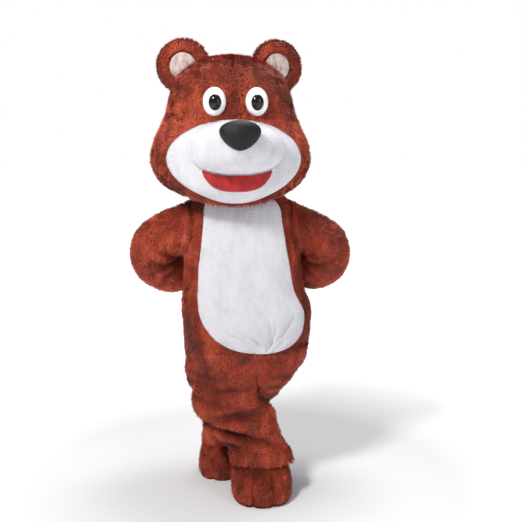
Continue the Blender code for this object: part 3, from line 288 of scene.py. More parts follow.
# Head
HEAD_CENTRE = Vector((-0.058, 0.012, -0.011))
HEAD_TURN = math.radians(7)
HEAD_POWER = 2.1
HOOD_ABOVE_FACE = 0.49
HOOD_BELOW_FACE = 0.905
SCALP_BOTTOM = 1.38
LEAST_HALF_WIDTH = 0.04
LEAST_REACH = 1e-3
OUTWARD_STEP = 0.004
HeadRow = namedtuple("HeadRow", "height half_width front back chin_drop")
HEAD = [
    HeadRow(1.800, 0.000, 0.000, 0.000, 0.000),
    HeadRow(1.796, 0.060, 0.058, 0.060, 0.000),
    HeadRow(1.779, 0.122, 0.116, 0.122, 0.000),
    HeadRow(1.748, 0.178, 0.166, 0.176, 0.000),
    HeadRow(1.700, 0.224, 0.206, 0.218, 0.000),
    HeadRow(1.640, 0.247, 0.232, 0.246, 0.000),
    HeadRow(1.575, 0.262, 0.246, 0.262, 0.000),
    HeadRow(1.510, 0.288, 0.256, 0.272, 0.000),
    HeadRow(1.445, 0.318, 0.264, 0.274, 0.000),
    HeadRow(1.385, 0.328, 0.268, 0.266, 0.002),
    HeadRow(1.325, 0.312, 0.268, 0.248, 0.010),
    HeadRow(1.278, 0.272, 0.254, 0.220, 0.030),
    HeadRow(1.256, 0.224, 0.222, 0.190, 0.050),
    HeadRow(1.258, 0.188, 0.186, 0.168, 0.046),
    HeadRow(1.276, 0.164, 0.160, 0.154, 0.034),
]

# Face panel, muzzle and mouth
FACE_HALF_ANGLE = math.radians(54)
FACE_CENTRE = 0.702
FACE_HALF_SPAN = 0.192
FACE_PADDING = 0.030
FACE_EDGE_REACH = 0.15
JAW_EASE = 1.4
JAW_PADDING = 0.026
MUZZLE_CENTRE = 0.640
MUZZLE_HALF_ANGLE = math.radians(32)
MUZZLE_HALF_SPAN = 0.120
MUZZLE_REACH = 0.118
MUZZLE_WALL = 0.009
MUZZLE_POWER = 2.3
MUZZLE_EDGE_REACH = 0.13
MUZZLE_TIP_POWER = 1.15
MUZZLE_AHEAD = np.array([0.0, -1.0, 0.06])
MOUTH_DROP = 0.006
MOUTH_CORNER = 0.96
MUZZLE_SEAT = 0.002
MOUTH_HALF_ANGLE = math.radians(21)
MOUTH_SPAN = 0.056
MOUTH_WALL = 0.003

# Eyes, nose and ears
EYE_SIZE = Vector((0.044, 0.031, 0.054))
EYE_PLACE = 0.430
EYE_ANGLE = math.radians(17)
PUPIL_SIZE = Vector((0.025, 0.018, 0.031))
PUPIL_PLACE = Vector((0.004, 0.010, -0.003))
EYE_LIFT = 0.002
EYE_TURN_SHARE = 0.6
NOSE_SIZE = Vector((0.084, 0.044, 0.054))
NOSE_PLACE = np.array([0.0, 0.006, 0.026])
NOSE_WIDTH_SHARE = 0.86
NOSE_TOP_SPREAD = 0.26
EarRow = namedtuple("EarRow", "radius depth")
EAR_PROFILE = [
    EarRow(0.000, 0.034),
    EarRow(0.055, 0.031),
    EarRow(0.090, 0.021),
    EarRow(0.111, 0.002),
    EarRow(0.108, -0.020),
    EarRow(0.090, -0.030),
    EarRow(0.068, -0.025),
    EarRow(0.056, -0.010),
    EarRow(0.000, -0.006),
]
INNER_EAR_PROFILE = [
    EarRow(0.000, -0.0063),
    EarRow(0.052, -0.0100),
    EarRow(0.053, -0.0130),
    EarRow(0.030, -0.0170),
    EarRow(0.000, -0.0185),
]
EAR_CENTRE = Vector((0.186, 0.012, 1.752))
EAR_ROLL = math.radians(24)
EAR_YAW = math.radians(14)
EAR_SUNK = 0.016

# Folds: a place down the piece, a share round it, a slope in degrees, then length, width and depth
Fold = namedtuple("Fold", "place around slope length width depth")
SLEEVE_FOLDS = [
    Fold(0.50, 0.50, 0, 0.42, 0.024, 0.026),
    Fold(0.38, 0.40, 16, 0.34, 0.020, 0.018),
    Fold(0.64, 0.36, -14, 0.34, 0.020, 0.019),
    Fold(0.27, 0.60, -20, 0.26, 0.017, 0.013),
    Fold(0.80, 0.58, 14, 0.28, 0.017, 0.014),
    Fold(0.56, 0.22, -8, 0.20, 0.014, 0.010),
    Fold(0.44, 0.18, 10, 0.20, 0.014, 0.010),
]
LEG_FOLDS = [
    Fold(0.508, 0.20, 5, 0.34, 0.020, 0.017),
    Fold(0.452, 0.14, -8, 0.32, 0.020, 0.021),
    Fold(0.408, 0.30, 9, 0.36, 0.019, 0.019),
    Fold(0.352, 0.16, -8, 0.36, 0.021, 0.025),
    Fold(0.300, 0.34, 12, 0.38, 0.020, 0.023),
    Fold(0.252, 0.12, 16, 0.32, 0.020, 0.022),
    Fold(0.205, 0.42, -12, 0.32, 0.019, 0.018),
    Fold(0.330, 0.50, 18, 0.24, 0.014, 0.014),
    Fold(0.425, 0.46, -14, 0.22, 0.014, 0.012),
    Fold(0.228, 0.26, 8, 0.24, 0.014, 0.013),
]
ARM_LENGTH = 0.34
ARM_GIRTH = 0.58
LEG_GIRTH = 0.80
BELLY_FOLDS = [
    Fold(0.678, 0.500, 115, 0.13, 0.0075, 0.011),
    Fold(0.682, 0.613, 76, 0.12, 0.0075, 0.010),
    Fold(0.706, 0.585, 92, 0.15, 0.0070, 0.009),
    Fold(0.708, 0.745, 49, 0.17, 0.0085, 0.010),
    Fold(0.672, 0.370, 142, 0.16, 0.0080, 0.010),
    Fold(0.686, 0.236, 145, 0.17, 0.0065, 0.010),
    Fold(0.735, 0.480, 105, 0.10, 0.0080, 0.006),
]
BELLY_WIDTH = 0.42
BELLY_GATHERS = 6
BELLY_GATHER_SPREAD = 0.150
BELLY_GATHER_DEPTH = 0.008
BELLY_GATHER_START = 6.0

# Studio: where the camera and the lamps stand, from the wearer's shoulders
CAMERA_PLACE = (0.065, -3.30, 0.21)
CAMERA_TILT = math.radians(81.5)
CAMERA_LENS = 55.79
CAMERA_SENSOR = 36.0
FLOOR_GAP = 0.0002
FLOOR_RINGS = (0.01, 0.5, 1.0, 2.0, 4.0)
FLOOR_RADIUS = 40.0
FLOOR_WHITE_FROM = 0.9
FLOOR_WHITE_AT = 2.6
Lamp = namedtuple("Lamp", "name place aim size power colour")
LAMPS = [
    Lamp("key", (-1.6, -2.6, 2.6), (0.0, 0.0, -0.2), 0.8, 145.0, (1.0, 0.98, 0.96)),
    Lamp("fill", (2.8, -2.8, 1.2), (0.0, 0.0, -0.3), 2.0, 24.0, (0.95, 0.97, 1.0)),
    Lamp("top", (0.3, 0.6, 3.0), (0.0, 0.0, -0.2), 1.6, 70.0, (1.0, 1.0, 1.0)),
]

# What shows of each cloth: its longest width and length, its area within curved edges, what carries it
Cut = namedtuple("Cut", "width length area held rests_on")

# Pile: how much the tufts vary, and its painted shade, darker towards a tuft's root and in a fold or beside a
# seam
Chance = namedtuple("Chance", "low high seed")
LEAN_CHANCE = Chance(-0.28, 0.22, 11)
LENGTH_CHANCE = Chance(0.65, 1.15, 23)
WIDTH_CHANCE = Chance(0.7, 1.3, 37)
TINT_CHANCE = Chance(0.0, 1.0, 53)
TUFT_STRAY = 0.22
LOCK_SWIRL = 4.0
PILE_SHEEN_PATCH = 0.14
PILE_TINT_SHARE = 0.4
PILE_ROOT_SHADE_END = 0.55
PILE_ROOT_SHADE_SHARE = 0.55
PILE_FOLD_SHADE_RANGE = (0.18, 0.85)
PILE_FOLD_SHADE_SHARE = 0.97
PILE_ROUGHNESS = 0.62
PILE_SHEEN = 0.18
PILE_SHEEN_ROUGHNESS = 0.45
PILE_SHEEN_TINT = (1.0, 0.62, 0.48, 1.0)
PILE_GLOSS = 0.35
GROUND_SHADE = 0.55

# Patches of colour on cloth, and of painted sheen and shade on the brown pile: broad and small ones, and
# where the dark and the light ones begin and are full
PATCH_STREAK = (1.0, 1.0, 0.5)
PATCH_SIZES = ((1.0, 2.0, 0.6), (3.5, 3.0, 0.4))
DARK_RANGE = (0.49, 0.36)
LIGHT_RANGE = (0.50, 0.62)

# Finishes of cloth: three colours, how wide the patches are, and the threads' pitch, unevenness and relief
CLOTH_ROUGHNESS = 0.95
CLOTH_SHEEN = 0.25
CLOTH_SHEEN_ROUGHNESS = 0.5
Cloth = namedtuple("Cloth", "base light dark patch pitch uneven depth")
CLOTHS = {
    "pale plush": Cloth(
        (0.52, 0.42, 0.39), (0.66, 0.57, 0.54), (0.32, 0.22, 0.20), 0.02, 0.0030, 1.0, 0.0012
    ),
    "red felt": Cloth(
        (0.34, 0.007, 0.008), (0.44, 0.014, 0.013), (0.18, 0.003, 0.004), 0.03, 0.0020, 1.6, 0.0005
    ),
    "knitted backing": Cloth(
        (0.30, 0.12, 0.07), (0.38, 0.17, 0.11), (0.20, 0.07, 0.04), 0.08, 0.0018, 0.5, 0.0006
    ),
    "head foam": Cloth(
        (0.42, 0.40, 0.36), (0.50, 0.48, 0.44), (0.30, 0.28, 0.25), 0.04, 0.0030, 3.0, 0.0012
    ),
    "woven tape": Cloth(
        (0.075, 0.018, 0.011), (0.11, 0.03, 0.02), (0.04, 0.01, 0.006), 0.02, 0.0011, 0.3, 0.0003
    ),
    "sewing thread": Cloth(
        (0.22, 0.05, 0.03), (0.30, 0.08, 0.05), (0.12, 0.02, 0.012), 0.01, 0.0007, 0.3, 0.0001
    ),
}

# Hard finishes: two colours, gloss and coat, and how fine and how deep the grain is
PATCH_SCALE = 30.0
WEAR_SCALE = 90.0
WEAR_RANGE = (0.3, 0.7)
WEAR_SHARES = (0.85, 1.2)
COAT_ROUGHNESS = 0.08
Hard = namedtuple("Hard", "base light roughness coat grain depth metallic gloss")
HARD_PARTS = {
    "nose black": Hard(
        (0.003, 0.003, 0.0035), (0.007, 0.007, 0.008), 0.55, 0.0, 700.0, 0.0004, 0.0, 0.28
    ),
    "pupil black": Hard(
        (0.003, 0.003, 0.003), (0.006, 0.006, 0.007), 0.14, 0.15, 300.0, 0.00002, 0.0, 0.3
    ),
    "eye white": Hard(
        (0.80, 0.80, 0.80), (0.86, 0.86, 0.86), 0.18, 0.8, 200.0, 0.00002, 0.0, 0.5
    ),
    "zip metal": Hard(
        (0.30, 0.26, 0.22), (0.42, 0.38, 0.33), 0.34, 0.0, 900.0, 0.0001, 1.0, 0.5
    ),
}


def smooth(knots, values, places):
    """Values at places along a curve through the knots, which never swings past them."""
    knots = np.asarray(knots, float)
    values = np.asarray(values, float)
    steps = np.diff(knots)
    slopes = np.diff(values) / steps
    before, after = slopes[:-1], slopes[1:]
    steady = before * after > 0
    safe_before = np.where(steady, before, 1.0)
    safe_after = np.where(steady, after, 1.0)
    weight_before = 2 * steps[1:] + steps[:-1]
    weight_after = steps[1:] + 2 * steps[:-1]
    mean = (weight_before + weight_after) / (weight_before / safe_before + weight_after / safe_after)
    tangents = np.concatenate([slopes[:1], np.where(steady, mean, 0.0), slopes[-1:]])
    places = np.clip(np.asarray(places, float), knots[0], knots[-1])
    index = np.clip(np.searchsorted(knots, places) - 1, 0, len(steps) - 1)
    step = steps[index]
    part = (places - knots[index]) / step
    rest = 1 - part
    return (
        values[index] * (1 + 2 * part) * rest**2
        + values[index + 1] * (3 - 2 * part) * part**2
        + step * tangents[index] * part * rest**2
        - step * tangents[index + 1] * part**2 * rest
    )


def column(rows, knot, field, places):
    return smooth([getattr(row, knot) for row in rows], [getattr(row, field) for row in rows], places)


def ease(part):
    part = np.clip(part, 0.0, 1.0)
    return part * part * (3 - 2 * part)


def rounded(angle, power):
    """Across and ahead of a rounded outline at an angle from straight ahead, 1 at its sides and its front."""
    across = np.sin(angle)
    ahead = np.cos(angle)
    return (
        np.sign(across) * np.abs(across) ** (2 / power),
        np.sign(ahead) * np.abs(ahead) ** (2 / power),
    )


def turned(points, angle):
    """Points turned about Z, so that straight ahead, -Y, goes towards +X."""
    x, y, z = points[..., 0], points[..., 1], points[..., 2]
    return np.stack(
        [x * math.cos(angle) - y * math.sin(angle), x * math.sin(angle) + y * math.cos(angle), z], axis=-1
    )


def fold_depth(folds, place, around, length, girth):
    """How deep the folds press the cloth in; place and around are shares of the length and the girth."""
    total = 0.0
    for fold in folds:
        slope = math.radians(fold.slope)
        sideways = ((around - fold.around + 0.5) % 1.0 - 0.5) * girth
        onward = (place - fold.place) * length
        along = sideways * math.cos(slope) + onward * math.sin(slope)
        off = onward * math.cos(slope) - sideways * math.sin(slope)
        fade = np.clip(1 - (2 * along / fold.length) ** 2, 0.0, 1.0)
        total = total + fold.depth * fade * np.exp(-((off / fold.width) ** 2))
    return total


def grid_faces(rows, columns, wrap=False):
    """Four-sided faces of a grid of points in reading order; wrap joins the last column to the first."""
    faces = []
    for row in range(rows - 1):
        for place in range(columns if wrap else columns - 1):
            here = row * columns + place
            beside = row * columns + (place + 1) % columns
            faces.append((here, beside, beside + columns, here + columns))
    return faces


def torso_point(angle, height, inset=0.0):
    """A point of the suit at an angle from the belly's middle line, towards the wearer's left."""
    height = np.asarray(height, float)
    turn = np.radians(column(TORSO, "height", "turn", height))
    across, ahead = rounded(angle + turn, TORSO_POWER)
    half_width = column(TORSO, "height", "half_width", height) - inset
    front = column(TORSO, "height", "front", height) - inset
    back = column(TORSO, "height", "back", height) - inset
    x = column(TORSO, "height", "x", height) + half_width * across
    y = column(TORSO, "height", "y", height) - np.where(ahead > 0, front, back) * ahead
    return np.stack(np.broadcast_arrays(x, y, height), axis=-1)


def belly_half_angle(height):
    above = np.radians(column(BELLY, "height", "half_angle", height))
    fall = np.clip((BELLY_WIDEST - height) / (BELLY_WIDEST - BELLY_BOTTOM), 0.0, 1.0)
    below = BELLY_BOTTOM_ANGLE * np.sqrt(1 - fall**BELLY_CORNER_POWER)
    return np.where(height >= BELLY_WIDEST, above, below)


def armhole_half_angle(height):
    part = np.clip(np.abs(height - ARMHOLE_CENTRE) / ARMHOLE_HALF_HEIGHT, 0.0, 1.0)
    return ARMHOLE_HALF_ANGLE * np.sqrt(1 - part**2)


def zip_half_angle(height):
    inside = (height <= ZIP_TOP) & (height >= ZIP_BOTTOM)
    return np.where(inside, ZIP_SLOT_WIDTH / 2 / column(TORSO, "height", "back", height), 0.0)


def armhole_heights():
    turns = np.linspace(0, math.pi, ARMHOLE_ROWS + 1)
    return ARMHOLE_CENTRE + ARMHOLE_HALF_HEIGHT * np.cos(turns)


def belly_end_heights():
    turns = np.linspace(0, math.pi / 2, BELLY_END_ROWS + 1)
    return BELLY_WIDEST - (BELLY_WIDEST - BELLY_BOTTOM) * np.sin(turns)


def panel(heights, columns, low, high, inset):
    """Points of a torso panel between two edges, each an angle for every height."""
    part = np.linspace(0.0, 1.0, columns)
    angles = low[:, None] * (1 - part) + high[:, None] * part
    return torso_point(angles, heights[:, None], inset)


def seam_angle(heights):
    return SEAM_GAP / 2 / column(TORSO, "height", "half_width", heights)


def belly_points(rows, edge, inset):
    """The belly panel, drawn into gathers that fan up from the bottom of its curved edge."""
    points = panel(rows, BELLY_COLUMNS, -edge, edge, PLUSH_RECESS + inset)
    part = np.linspace(-1.0, 1.0, BELLY_COLUMNS)[None, :]
    waves = (0.5 - 0.5 * np.cos(part * math.pi * BELLY_GATHERS)) * (1 - part**2)
    up = (rows[:, None] - BELLY_BOTTOM) / BELLY_GATHER_SPREAD
    fade = np.clip(1 - up, 0.0, 1.0) * np.clip(up * BELLY_GATHER_START, 0.0, 1.0)
    points[..., 1] += BELLY_GATHER_DEPTH * waves * fade
    points[..., 1] += fold_depth(BELLY_FOLDS, rows[:, None], (part + 1) / 2, 1.0, BELLY_WIDTH)
    return points


def arm_path(arm, along):
    """Places and directions along the arm's bent middle line, from the shoulder, 0, to the wrist, 1."""
    shoulder, elbow, wrist = (np.array(point) for point in (arm.shoulder, arm.elbow, arm.wrist))
    first = elbow - shoulder
    second = wrist - elbow
    first_length = np.linalg.norm(first)
    second_length = np.linalg.norm(second)
    first = first / first_length
    second = second / second_length
    turn = math.acos(float(first @ second))
    cut = arm.bend_radius * math.tan(turn / 2)
    lengths = [first_length - cut, arm.bend_radius * turn, second_length - cut]
    place = np.asarray(along, float) * sum(lengths)
    across = second - first * float(first @ second)
    across = across / np.linalg.norm(across)
    start = elbow - first * cut
    swing = np.clip((place - lengths[0]) / arm.bend_radius, 0.0, turn)[..., None]
    before = np.minimum(place - lengths[0], 0.0)[..., None]
    after = np.maximum(place - lengths[0] - lengths[1], 0.0)[..., None]
    direction = first * np.cos(swing) + across * np.sin(swing)
    centre = start + first * before + arm.bend_radius * (first * np.sin(swing) + across * (1 - np.cos(swing)))
    return centre + second * after, direction, across, np.cross(first, across)


def armhole_ring(side, inset=0.0):
    """The armhole's edge, from its top down the front and up the back."""
    heights = armhole_heights()
    reach = armhole_half_angle(heights)
    front = torso_point(side * (SIDE_SEAM - reach), heights, PILE_ROOT)
    back = torso_point(side * (SIDE_SEAM + reach), heights, PILE_ROOT)
    ring = np.concatenate([front, back[-2:0:-1]])
    ring[:, 0] += side * SEAM_GAP
    centre = ring.mean(axis=0)
    towards = centre - ring
    return ring + towards / np.linalg.norm(towards, axis=1, keepdims=True) * (inset - PILE_ROOT)


def clear_of_torso(points, gap, share):
    """Moves points that lie inside the torso's outline, or nearer to it than the gap, straight out."""
    x, y, height = points[..., 0], points[..., 1], points[..., 2]
    across = x - column(TORSO, "height", "x", height)
    ahead = column(TORSO, "height", "y", height) - y
    front = column(TORSO, "height", "front", height)
    depth = np.where(ahead > 0, front, column(TORSO, "height", "back", height))
    width = column(TORSO, "height", "half_width", height)
    powers = np.abs(across / width) ** TORSO_POWER + np.abs(ahead / depth) ** TORSO_POWER
    reach = powers ** (1 / TORSO_POWER)
    missing = np.clip(1 + gap / width - reach, 0.0, TORSO_PUSH_LIMIT) * share
    out = points.copy()
    out[..., 0] += across / reach * missing
    out[..., 1] -= ahead / reach * missing
    return out


def sleeve_points(arm, places, inset=0.0):
    """Rings of the sleeve: the armhole's own edge, easing into round sections."""
    ring = armhole_ring(arm.side, inset)
    centre, direction, _, normal = arm_path(arm, places)
    upward = np.cross(normal, direction)
    outer_side = -upward if (upward[0] @ np.array((0, 0, 1.0))) < 0 else upward
    angles = np.linspace(0, 2 * math.pi, ARM_COLUMNS, endpoint=False)
    forward = np.cross(direction, outer_side) * arm.side
    shares = (angles / (2 * math.pi))[None, :]
    pressed = fold_depth(SLEEVE_FOLDS, places[:, None], shares, ARM_LENGTH, ARM_GIRTH) + inset
    half_across = (column(ARM_SIZES, "along", "across", places)[:, None] - pressed)[:, :, None]
    half_deep = (column(ARM_SIZES, "along", "deep", places)[:, None] - pressed)[:, :, None]
    rounds = (
        centre[:, None, :]
        + outer_side[:, None, :] * np.cos(angles)[None, :, None] * half_across
        + forward[:, None, :] * np.sin(angles)[None, :, None] * half_deep
    )
    share = ease(np.asarray(places) / ARM_BLEND)[:, None, None]
    points = ring[None] * (1 - share) + rounds * share
    return clear_of_torso(points, TORSO_CLEARANCE + inset, ease(np.asarray(places) / ARMHOLE_BLEND)[:, None])


def mitt_points(arm, inset=0.0):
    """Rings of the mitt, from the sleeve's end round to its closed tip."""
    wrist, direction, _, _ = arm_path(arm, np.array([1.0]))
    start = wrist[0] + direction[0] * SEAM_GAP
    knuckles = np.array(arm.knuckles)
    tip = np.array(arm.fingertips)
    tip = tip + (knuckles - tip) / np.linalg.norm(knuckles - tip) * inset
    part = np.linspace(0.0, 1.0, MITT_ROWS)[:, None]
    centre = start * (1 - part) ** 2 + 2 * knuckles * part * (1 - part) + tip * part**2
    last_ring = sleeve_points(arm, np.array([1.0]), inset)[0] + direction[0] * SEAM_GAP
    heading = 2 * (1 - part) * (knuckles - start) + 2 * part * (tip - knuckles)
    heading = heading / np.linalg.norm(heading, axis=1, keepdims=True)
    middle = last_ring.mean(axis=0)
    first_up = last_ring[0] - middle
    up = first_up - heading * (heading @ first_up)[:, None]
    up = up / np.linalg.norm(up, axis=1, keepdims=True)
    forward = np.cross(heading, up) * arm.side
    angles = np.linspace(0, 2 * math.pi, ARM_COLUMNS, endpoint=False)
    swell = column(MITT_PROFILE, "along", "swell", part[:, 0])
    half_across = (MITT_ACROSS - inset) * swell[:, None, None]
    half_deep = (MITT_DEEP - inset) * swell[:, None, None]
    rounds = (
        centre[:, None, :]
        + up[:, None, :] * np.cos(angles)[None, :, None] * half_across
        + forward[:, None, :] * np.sin(angles)[None, :, None] * half_deep
    )
    share = ease(part / MITT_BLEND)[:, :, None]
    points = last_ring[None] * (1 - share) + rounds * share
    return clear_of_torso(points, TORSO_CLEARANCE + inset, np.ones_like(part))


def legs_parted(points, height, side, inset):
    """Presses a leg's points back to its own side of the parting between the two legs."""
    turn = np.radians(column(LEG_PARTING, "height", "turn", height))
    own_x = side * np.cos(turn)
    own_y = side * np.sin(turn)
    middle_x = column(LEG_PARTING, "height", "x", height)
    middle_y = column(LEG_PARTING, "height", "y", height)
    away = (points[..., 0] - middle_x) * own_x + (points[..., 1] - middle_y) * own_y
    clear = away - LEG_SPREAD - inset
    pressed = (clear + np.sqrt(clear**2 + LEG_PRESS**2)) / 2
    shift = pressed - clear
    out = points.copy()
    out[..., 0] += shift * own_x
    out[..., 1] += shift * own_y
    return out


def hip_half(side, height, inset):
    """Half of the hip's outline at each height, from the front round the side to the back and across."""
    turn = np.radians(column(LEG_PARTING, "height", "turn", height))
    torso_turn = np.radians(column(TORSO, "height", "turn", height))
    gap = SEAM_GAP / 2 / column(TORSO, "height", "half_width", height)
    part = np.linspace(0.0, 1.0, LEG_OUTER_STEPS + 1)
    angles = turn - torso_turn + side * (gap + (math.pi - 2 * gap) * part)
    outer = torso_point(angles, height, inset)
    back, front = outer[:, -1:], outer[:, :1]
    across = np.linspace(0.0, 1.0, LEG_INNER_STEPS + 1)[1:-1][None, :, None]
    middle = back * (1 - across) + front * across
    away = np.stack([side * np.cos(turn), side * np.sin(turn), np.zeros_like(turn)], axis=-1)
    return np.concatenate([outer, middle + away * (LEG_SPREAD + inset)], axis=1)


def leg_section(rows, side, height, inset):
    """The leg's own rounded section at each height, its columns starting at the inner front."""
    start = LEG_START_TURN + side * (LEG_INNER_HALF_ANGLE - SIDE_SEAM)
    outer_span = 2 * math.pi - 2 * LEG_INNER_HALF_ANGLE
    outer = start + side * outer_span * np.linspace(0.0, 1.0, LEG_OUTER_STEPS + 1)
    inner_part = np.linspace(0.0, 1.0, LEG_INNER_STEPS + 1)[1:-1]
    inner = start + side * (outer_span + 2 * LEG_INNER_HALF_ANGLE * inner_part)
    across, ahead = rounded(np.concatenate([outer, inner]), LEG_POWER)
    shares = np.linspace(0.0, 1.0, LEG_COLUMNS, endpoint=False)[None, :]
    pressed = fold_depth(LEG_FOLDS, height, shares, 1.0, LEG_GIRTH) + inset
    half_width = column(rows, "height", "half_width", height) - pressed
    half_depth = column(rows, "height", "half_depth", height) - pressed
    x = column(rows, "height", "x", height) + half_width * across
    y = column(rows, "height", "y", height) - half_depth * ahead
    return np.stack(np.broadcast_arrays(x, y, height), axis=-1)


def leg_points(rows, side, heights, inset=0.0):
    height = heights[:, None]
    hips = hip_half(side, height, inset)
    own = legs_parted(leg_section(rows, side, height, inset), height, side, inset)
    share = ease((LEG_BLEND_TOP - height) / LEG_BLEND_HEIGHT)[:, :, None]
    return hips * (1 - share) + own * share


def head_knots():
    """How far down the head's side each row of its table lies, from the crown, 0, to the neck's edge, 1."""
    sides = [(row.half_width, row.height) for row in HEAD]
    steps = [math.dist(above, below) for above, below in zip(sides, sides[1:])]
    return np.concatenate([[0.0], np.cumsum(steps)]) / sum(steps)


HEAD_KNOTS = head_knots()


def head_value(field, place):
    return smooth(HEAD_KNOTS, [getattr(row, field) for row in HEAD], place)


def head_skin(angle, place):
    """A point of the head's outer face, at an angle from the nose and a place between crown and neck."""
    across, ahead = rounded(angle, HEAD_POWER)
    x = head_value("half_width", place) * across
    y = -np.where(ahead > 0, head_value("front", place), head_value("back", place)) * ahead
    drop = head_value("chin_drop", place) * np.where(ahead > 0, ahead, 0.0) ** 2
    return np.stack(np.broadcast_arrays(x, y, head_value("height", place) - drop), axis=-1)


def outward(surface, angle, place):
    """The direction straight out of a surface of the head."""
    around = surface(angle + OUTWARD_STEP, place) - surface(angle - OUTWARD_STEP, place)
    low = np.maximum(place - OUTWARD_STEP, 0.0)
    high = np.minimum(place + OUTWARD_STEP, 1.0)
    down = surface(angle, high) - surface(angle, low)
    straight = np.cross(down, around)
    length = np.linalg.norm(straight, axis=-1, keepdims=True)
    upward = np.array([0.0, 0.0, 1.0])
    return np.where(length > LEAST_LENGTH, straight / np.maximum(length, LEAST_LENGTH), upward)


def head_point(angle, place, out=0.0):
    angle, place = np.broadcast_arrays(angle, place)
    return head_skin(angle, place) + outward(head_skin, angle, place) * out


def on_stand(points):
    """Points of the head's frame, turned with the head and set over the shoulders."""
    return turned(points, HEAD_TURN) + np.array(HEAD_CENTRE)


def hood_places():
    above = np.linspace(0.0, HOOD_ABOVE_FACE, HOOD_ROWS_ABOVE)
    opening = FACE_CENTRE - FACE_HALF_SPAN * np.cos(np.linspace(0, math.pi, FACE_ROWS + 1))
    below = np.linspace(HOOD_BELOW_FACE, 1.0, HOOD_ROWS_BELOW)
    return np.concatenate([above, opening, below])


def hood_front_edge(place):
    part = np.clip(np.abs(place - FACE_CENTRE) / FACE_HALF_SPAN, 0.0, 1.0)
    return FACE_HALF_ANGLE * np.sqrt(1 - part**2)


def hood_points(side, inset):
    places = hood_places()
    gap = SEAM_GAP / np.maximum(head_value("half_width", places), LEAST_HALF_WIDTH)
    part = np.linspace(0.0, 1.0, HOOD_COLUMNS)
    low = hood_front_edge(places) + gap
    high = math.pi - gap
    angles = side * np.sqrt(low[:, None] ** 2 * (1 - part**2) + high[:, None] ** 2 * part**2)
    points = head_point(angles, places[:, None], -inset)
    points[0, :, 0] = side * SEAM_GAP
    return on_stand(points)


def face_reach(angle, place):
    """How far a place lies from the middle of the face panel, 0, towards its edge, 1."""
    return np.hypot(angle / FACE_HALF_ANGLE, (place - FACE_CENTRE) / FACE_HALF_SPAN)


def face_relief(angle, place):
    """How far the padded face panel stands out of the head's skin."""
    reach = np.clip(face_reach(angle, place), 0.0, 1.0)
    low = ease((place - FACE_CENTRE) / FACE_HALF_SPAN * JAW_EASE)
    return (FACE_PADDING + JAW_PADDING * low) * (1 - reach**2) - PLUSH_RECESS * reach**4


def face_skin(angle, place):
    angle, place = np.broadcast_arrays(angle, place)
    return head_point(angle, place, face_relief(angle, place)[..., None])


def face_point(angle, place, out=0.0):
    angle, place = np.broadcast_arrays(angle, place)
    return face_skin(angle, place) + outward(face_skin, angle, place) * out


def face_grid(rings, columns, scale):
    """Angles and places of rings from the panel's edge, scale 1, to its middle."""
    reach = np.linspace(scale, 0.0, rings)[:, None]
    turn = np.linspace(0, 2 * math.pi, columns, endpoint=False)[None, :]
    return FACE_HALF_ANGLE * reach * np.sin(turn), FACE_CENTRE - FACE_HALF_SPAN * reach * np.cos(turn)


def muzzle_points(inset):
    """The muzzle's dome, from its edge on the face panel to its tip, pushed straight ahead."""
    reach = np.cos(np.linspace(0, math.pi / 2, MUZZLE_RINGS))[:, None]
    turn = np.linspace(0, 2 * math.pi, MUZZLE_COLUMNS, endpoint=False)[None, :]
    across, ahead = rounded(turn, MUZZLE_POWER)
    shrink = 1 - inset / MUZZLE_EDGE_REACH
    angles = MUZZLE_HALF_ANGLE * reach * across * shrink
    places = MUZZLE_CENTRE - MUZZLE_HALF_SPAN * reach * ahead * shrink
    base = face_point(angles, places, MUZZLE_SEAT)
    rise = (MUZZLE_REACH - inset) * np.sqrt(np.clip(1 - reach**2, 0.0, 1.0)) ** MUZZLE_TIP_POWER
    return base + MUZZLE_AHEAD * rise[..., None]


def mouth_points(inset):
    """A half moon on the face panel, hung from just under the muzzle's edge."""
    part = np.linspace(-1.0, 1.0, MOUTH_COLUMNS)[None, :]
    angles = MOUTH_HALF_ANGLE * part
    across = np.clip(np.abs(angles / MUZZLE_HALF_ANGLE), 0.0, 1.0)
    lip = MUZZLE_CENTRE + MUZZLE_HALF_SPAN * (1 - across**MUZZLE_POWER) ** (1 / MUZZLE_POWER) + MOUTH_DROP
    down = np.linspace(0.0, 1.0, MOUTH_ROWS)[:, None]
    depth = MOUTH_SPAN * np.sqrt(1 - part**4 * MOUTH_CORNER)
    out = 2 * SEAM_GAP + MOUTH_WALL - inset
    return face_point(np.broadcast_to(angles, (MOUTH_ROWS, MOUTH_COLUMNS)), lip + depth * down, out)


def head_frame(point, roll=0.0, yaw=0.0):
    """A frame at a point of the head's own frame, turned with the head."""
    place = Vector(on_stand(np.array(point)).tolist())
    place.z -= SHOULDER_HEIGHT
    turn = Matrix.Rotation(HEAD_TURN + yaw, 4, "Z") @ Matrix.Rotation(roll, 4, "Y")
    return Matrix.Translation(place) @ turn


# Rows of each piece


def spread(*marks):
    """Evenly spaced rows between marks, each a value and how many steps lead to it."""
    rows = [marks[0][0]]
    for value, steps in marks[1:]:
        rows += list(np.linspace(rows[-1], value, steps + 1)[1:])
    return rows


def torso_heights():
    top = armhole_heights()[0]
    bottom = armhole_heights()[-1]
    above = spread((NECK_EDGE, 0), (ZIP_TOP, NECK_ROWS), (top, SHOULDER_ROWS))[:-1]
    between = spread((bottom, 0), (BELLY_WIDEST, SIDE_ROWS))[1:-1]
    below = spread((BELLY_BOTTOM, 0), (HIP_SEAM + SEAM_GAP / 2, SEAT_ROWS))[1:]
    return np.concatenate([above, armhole_heights(), between, belly_end_heights(), below])


def leg_heights():
    return np.array(spread((HIP_SEAM - SEAM_GAP / 2, 0), (CROTCH, HIP_ROWS), (HEM, LEG_ROWS - 1 - HIP_ROWS)))


def foot_angles():
    even = np.linspace(0, 2 * math.pi, FOOT_COLUMNS, endpoint=False)
    return even - TOE_CROWDING * np.sin(even)


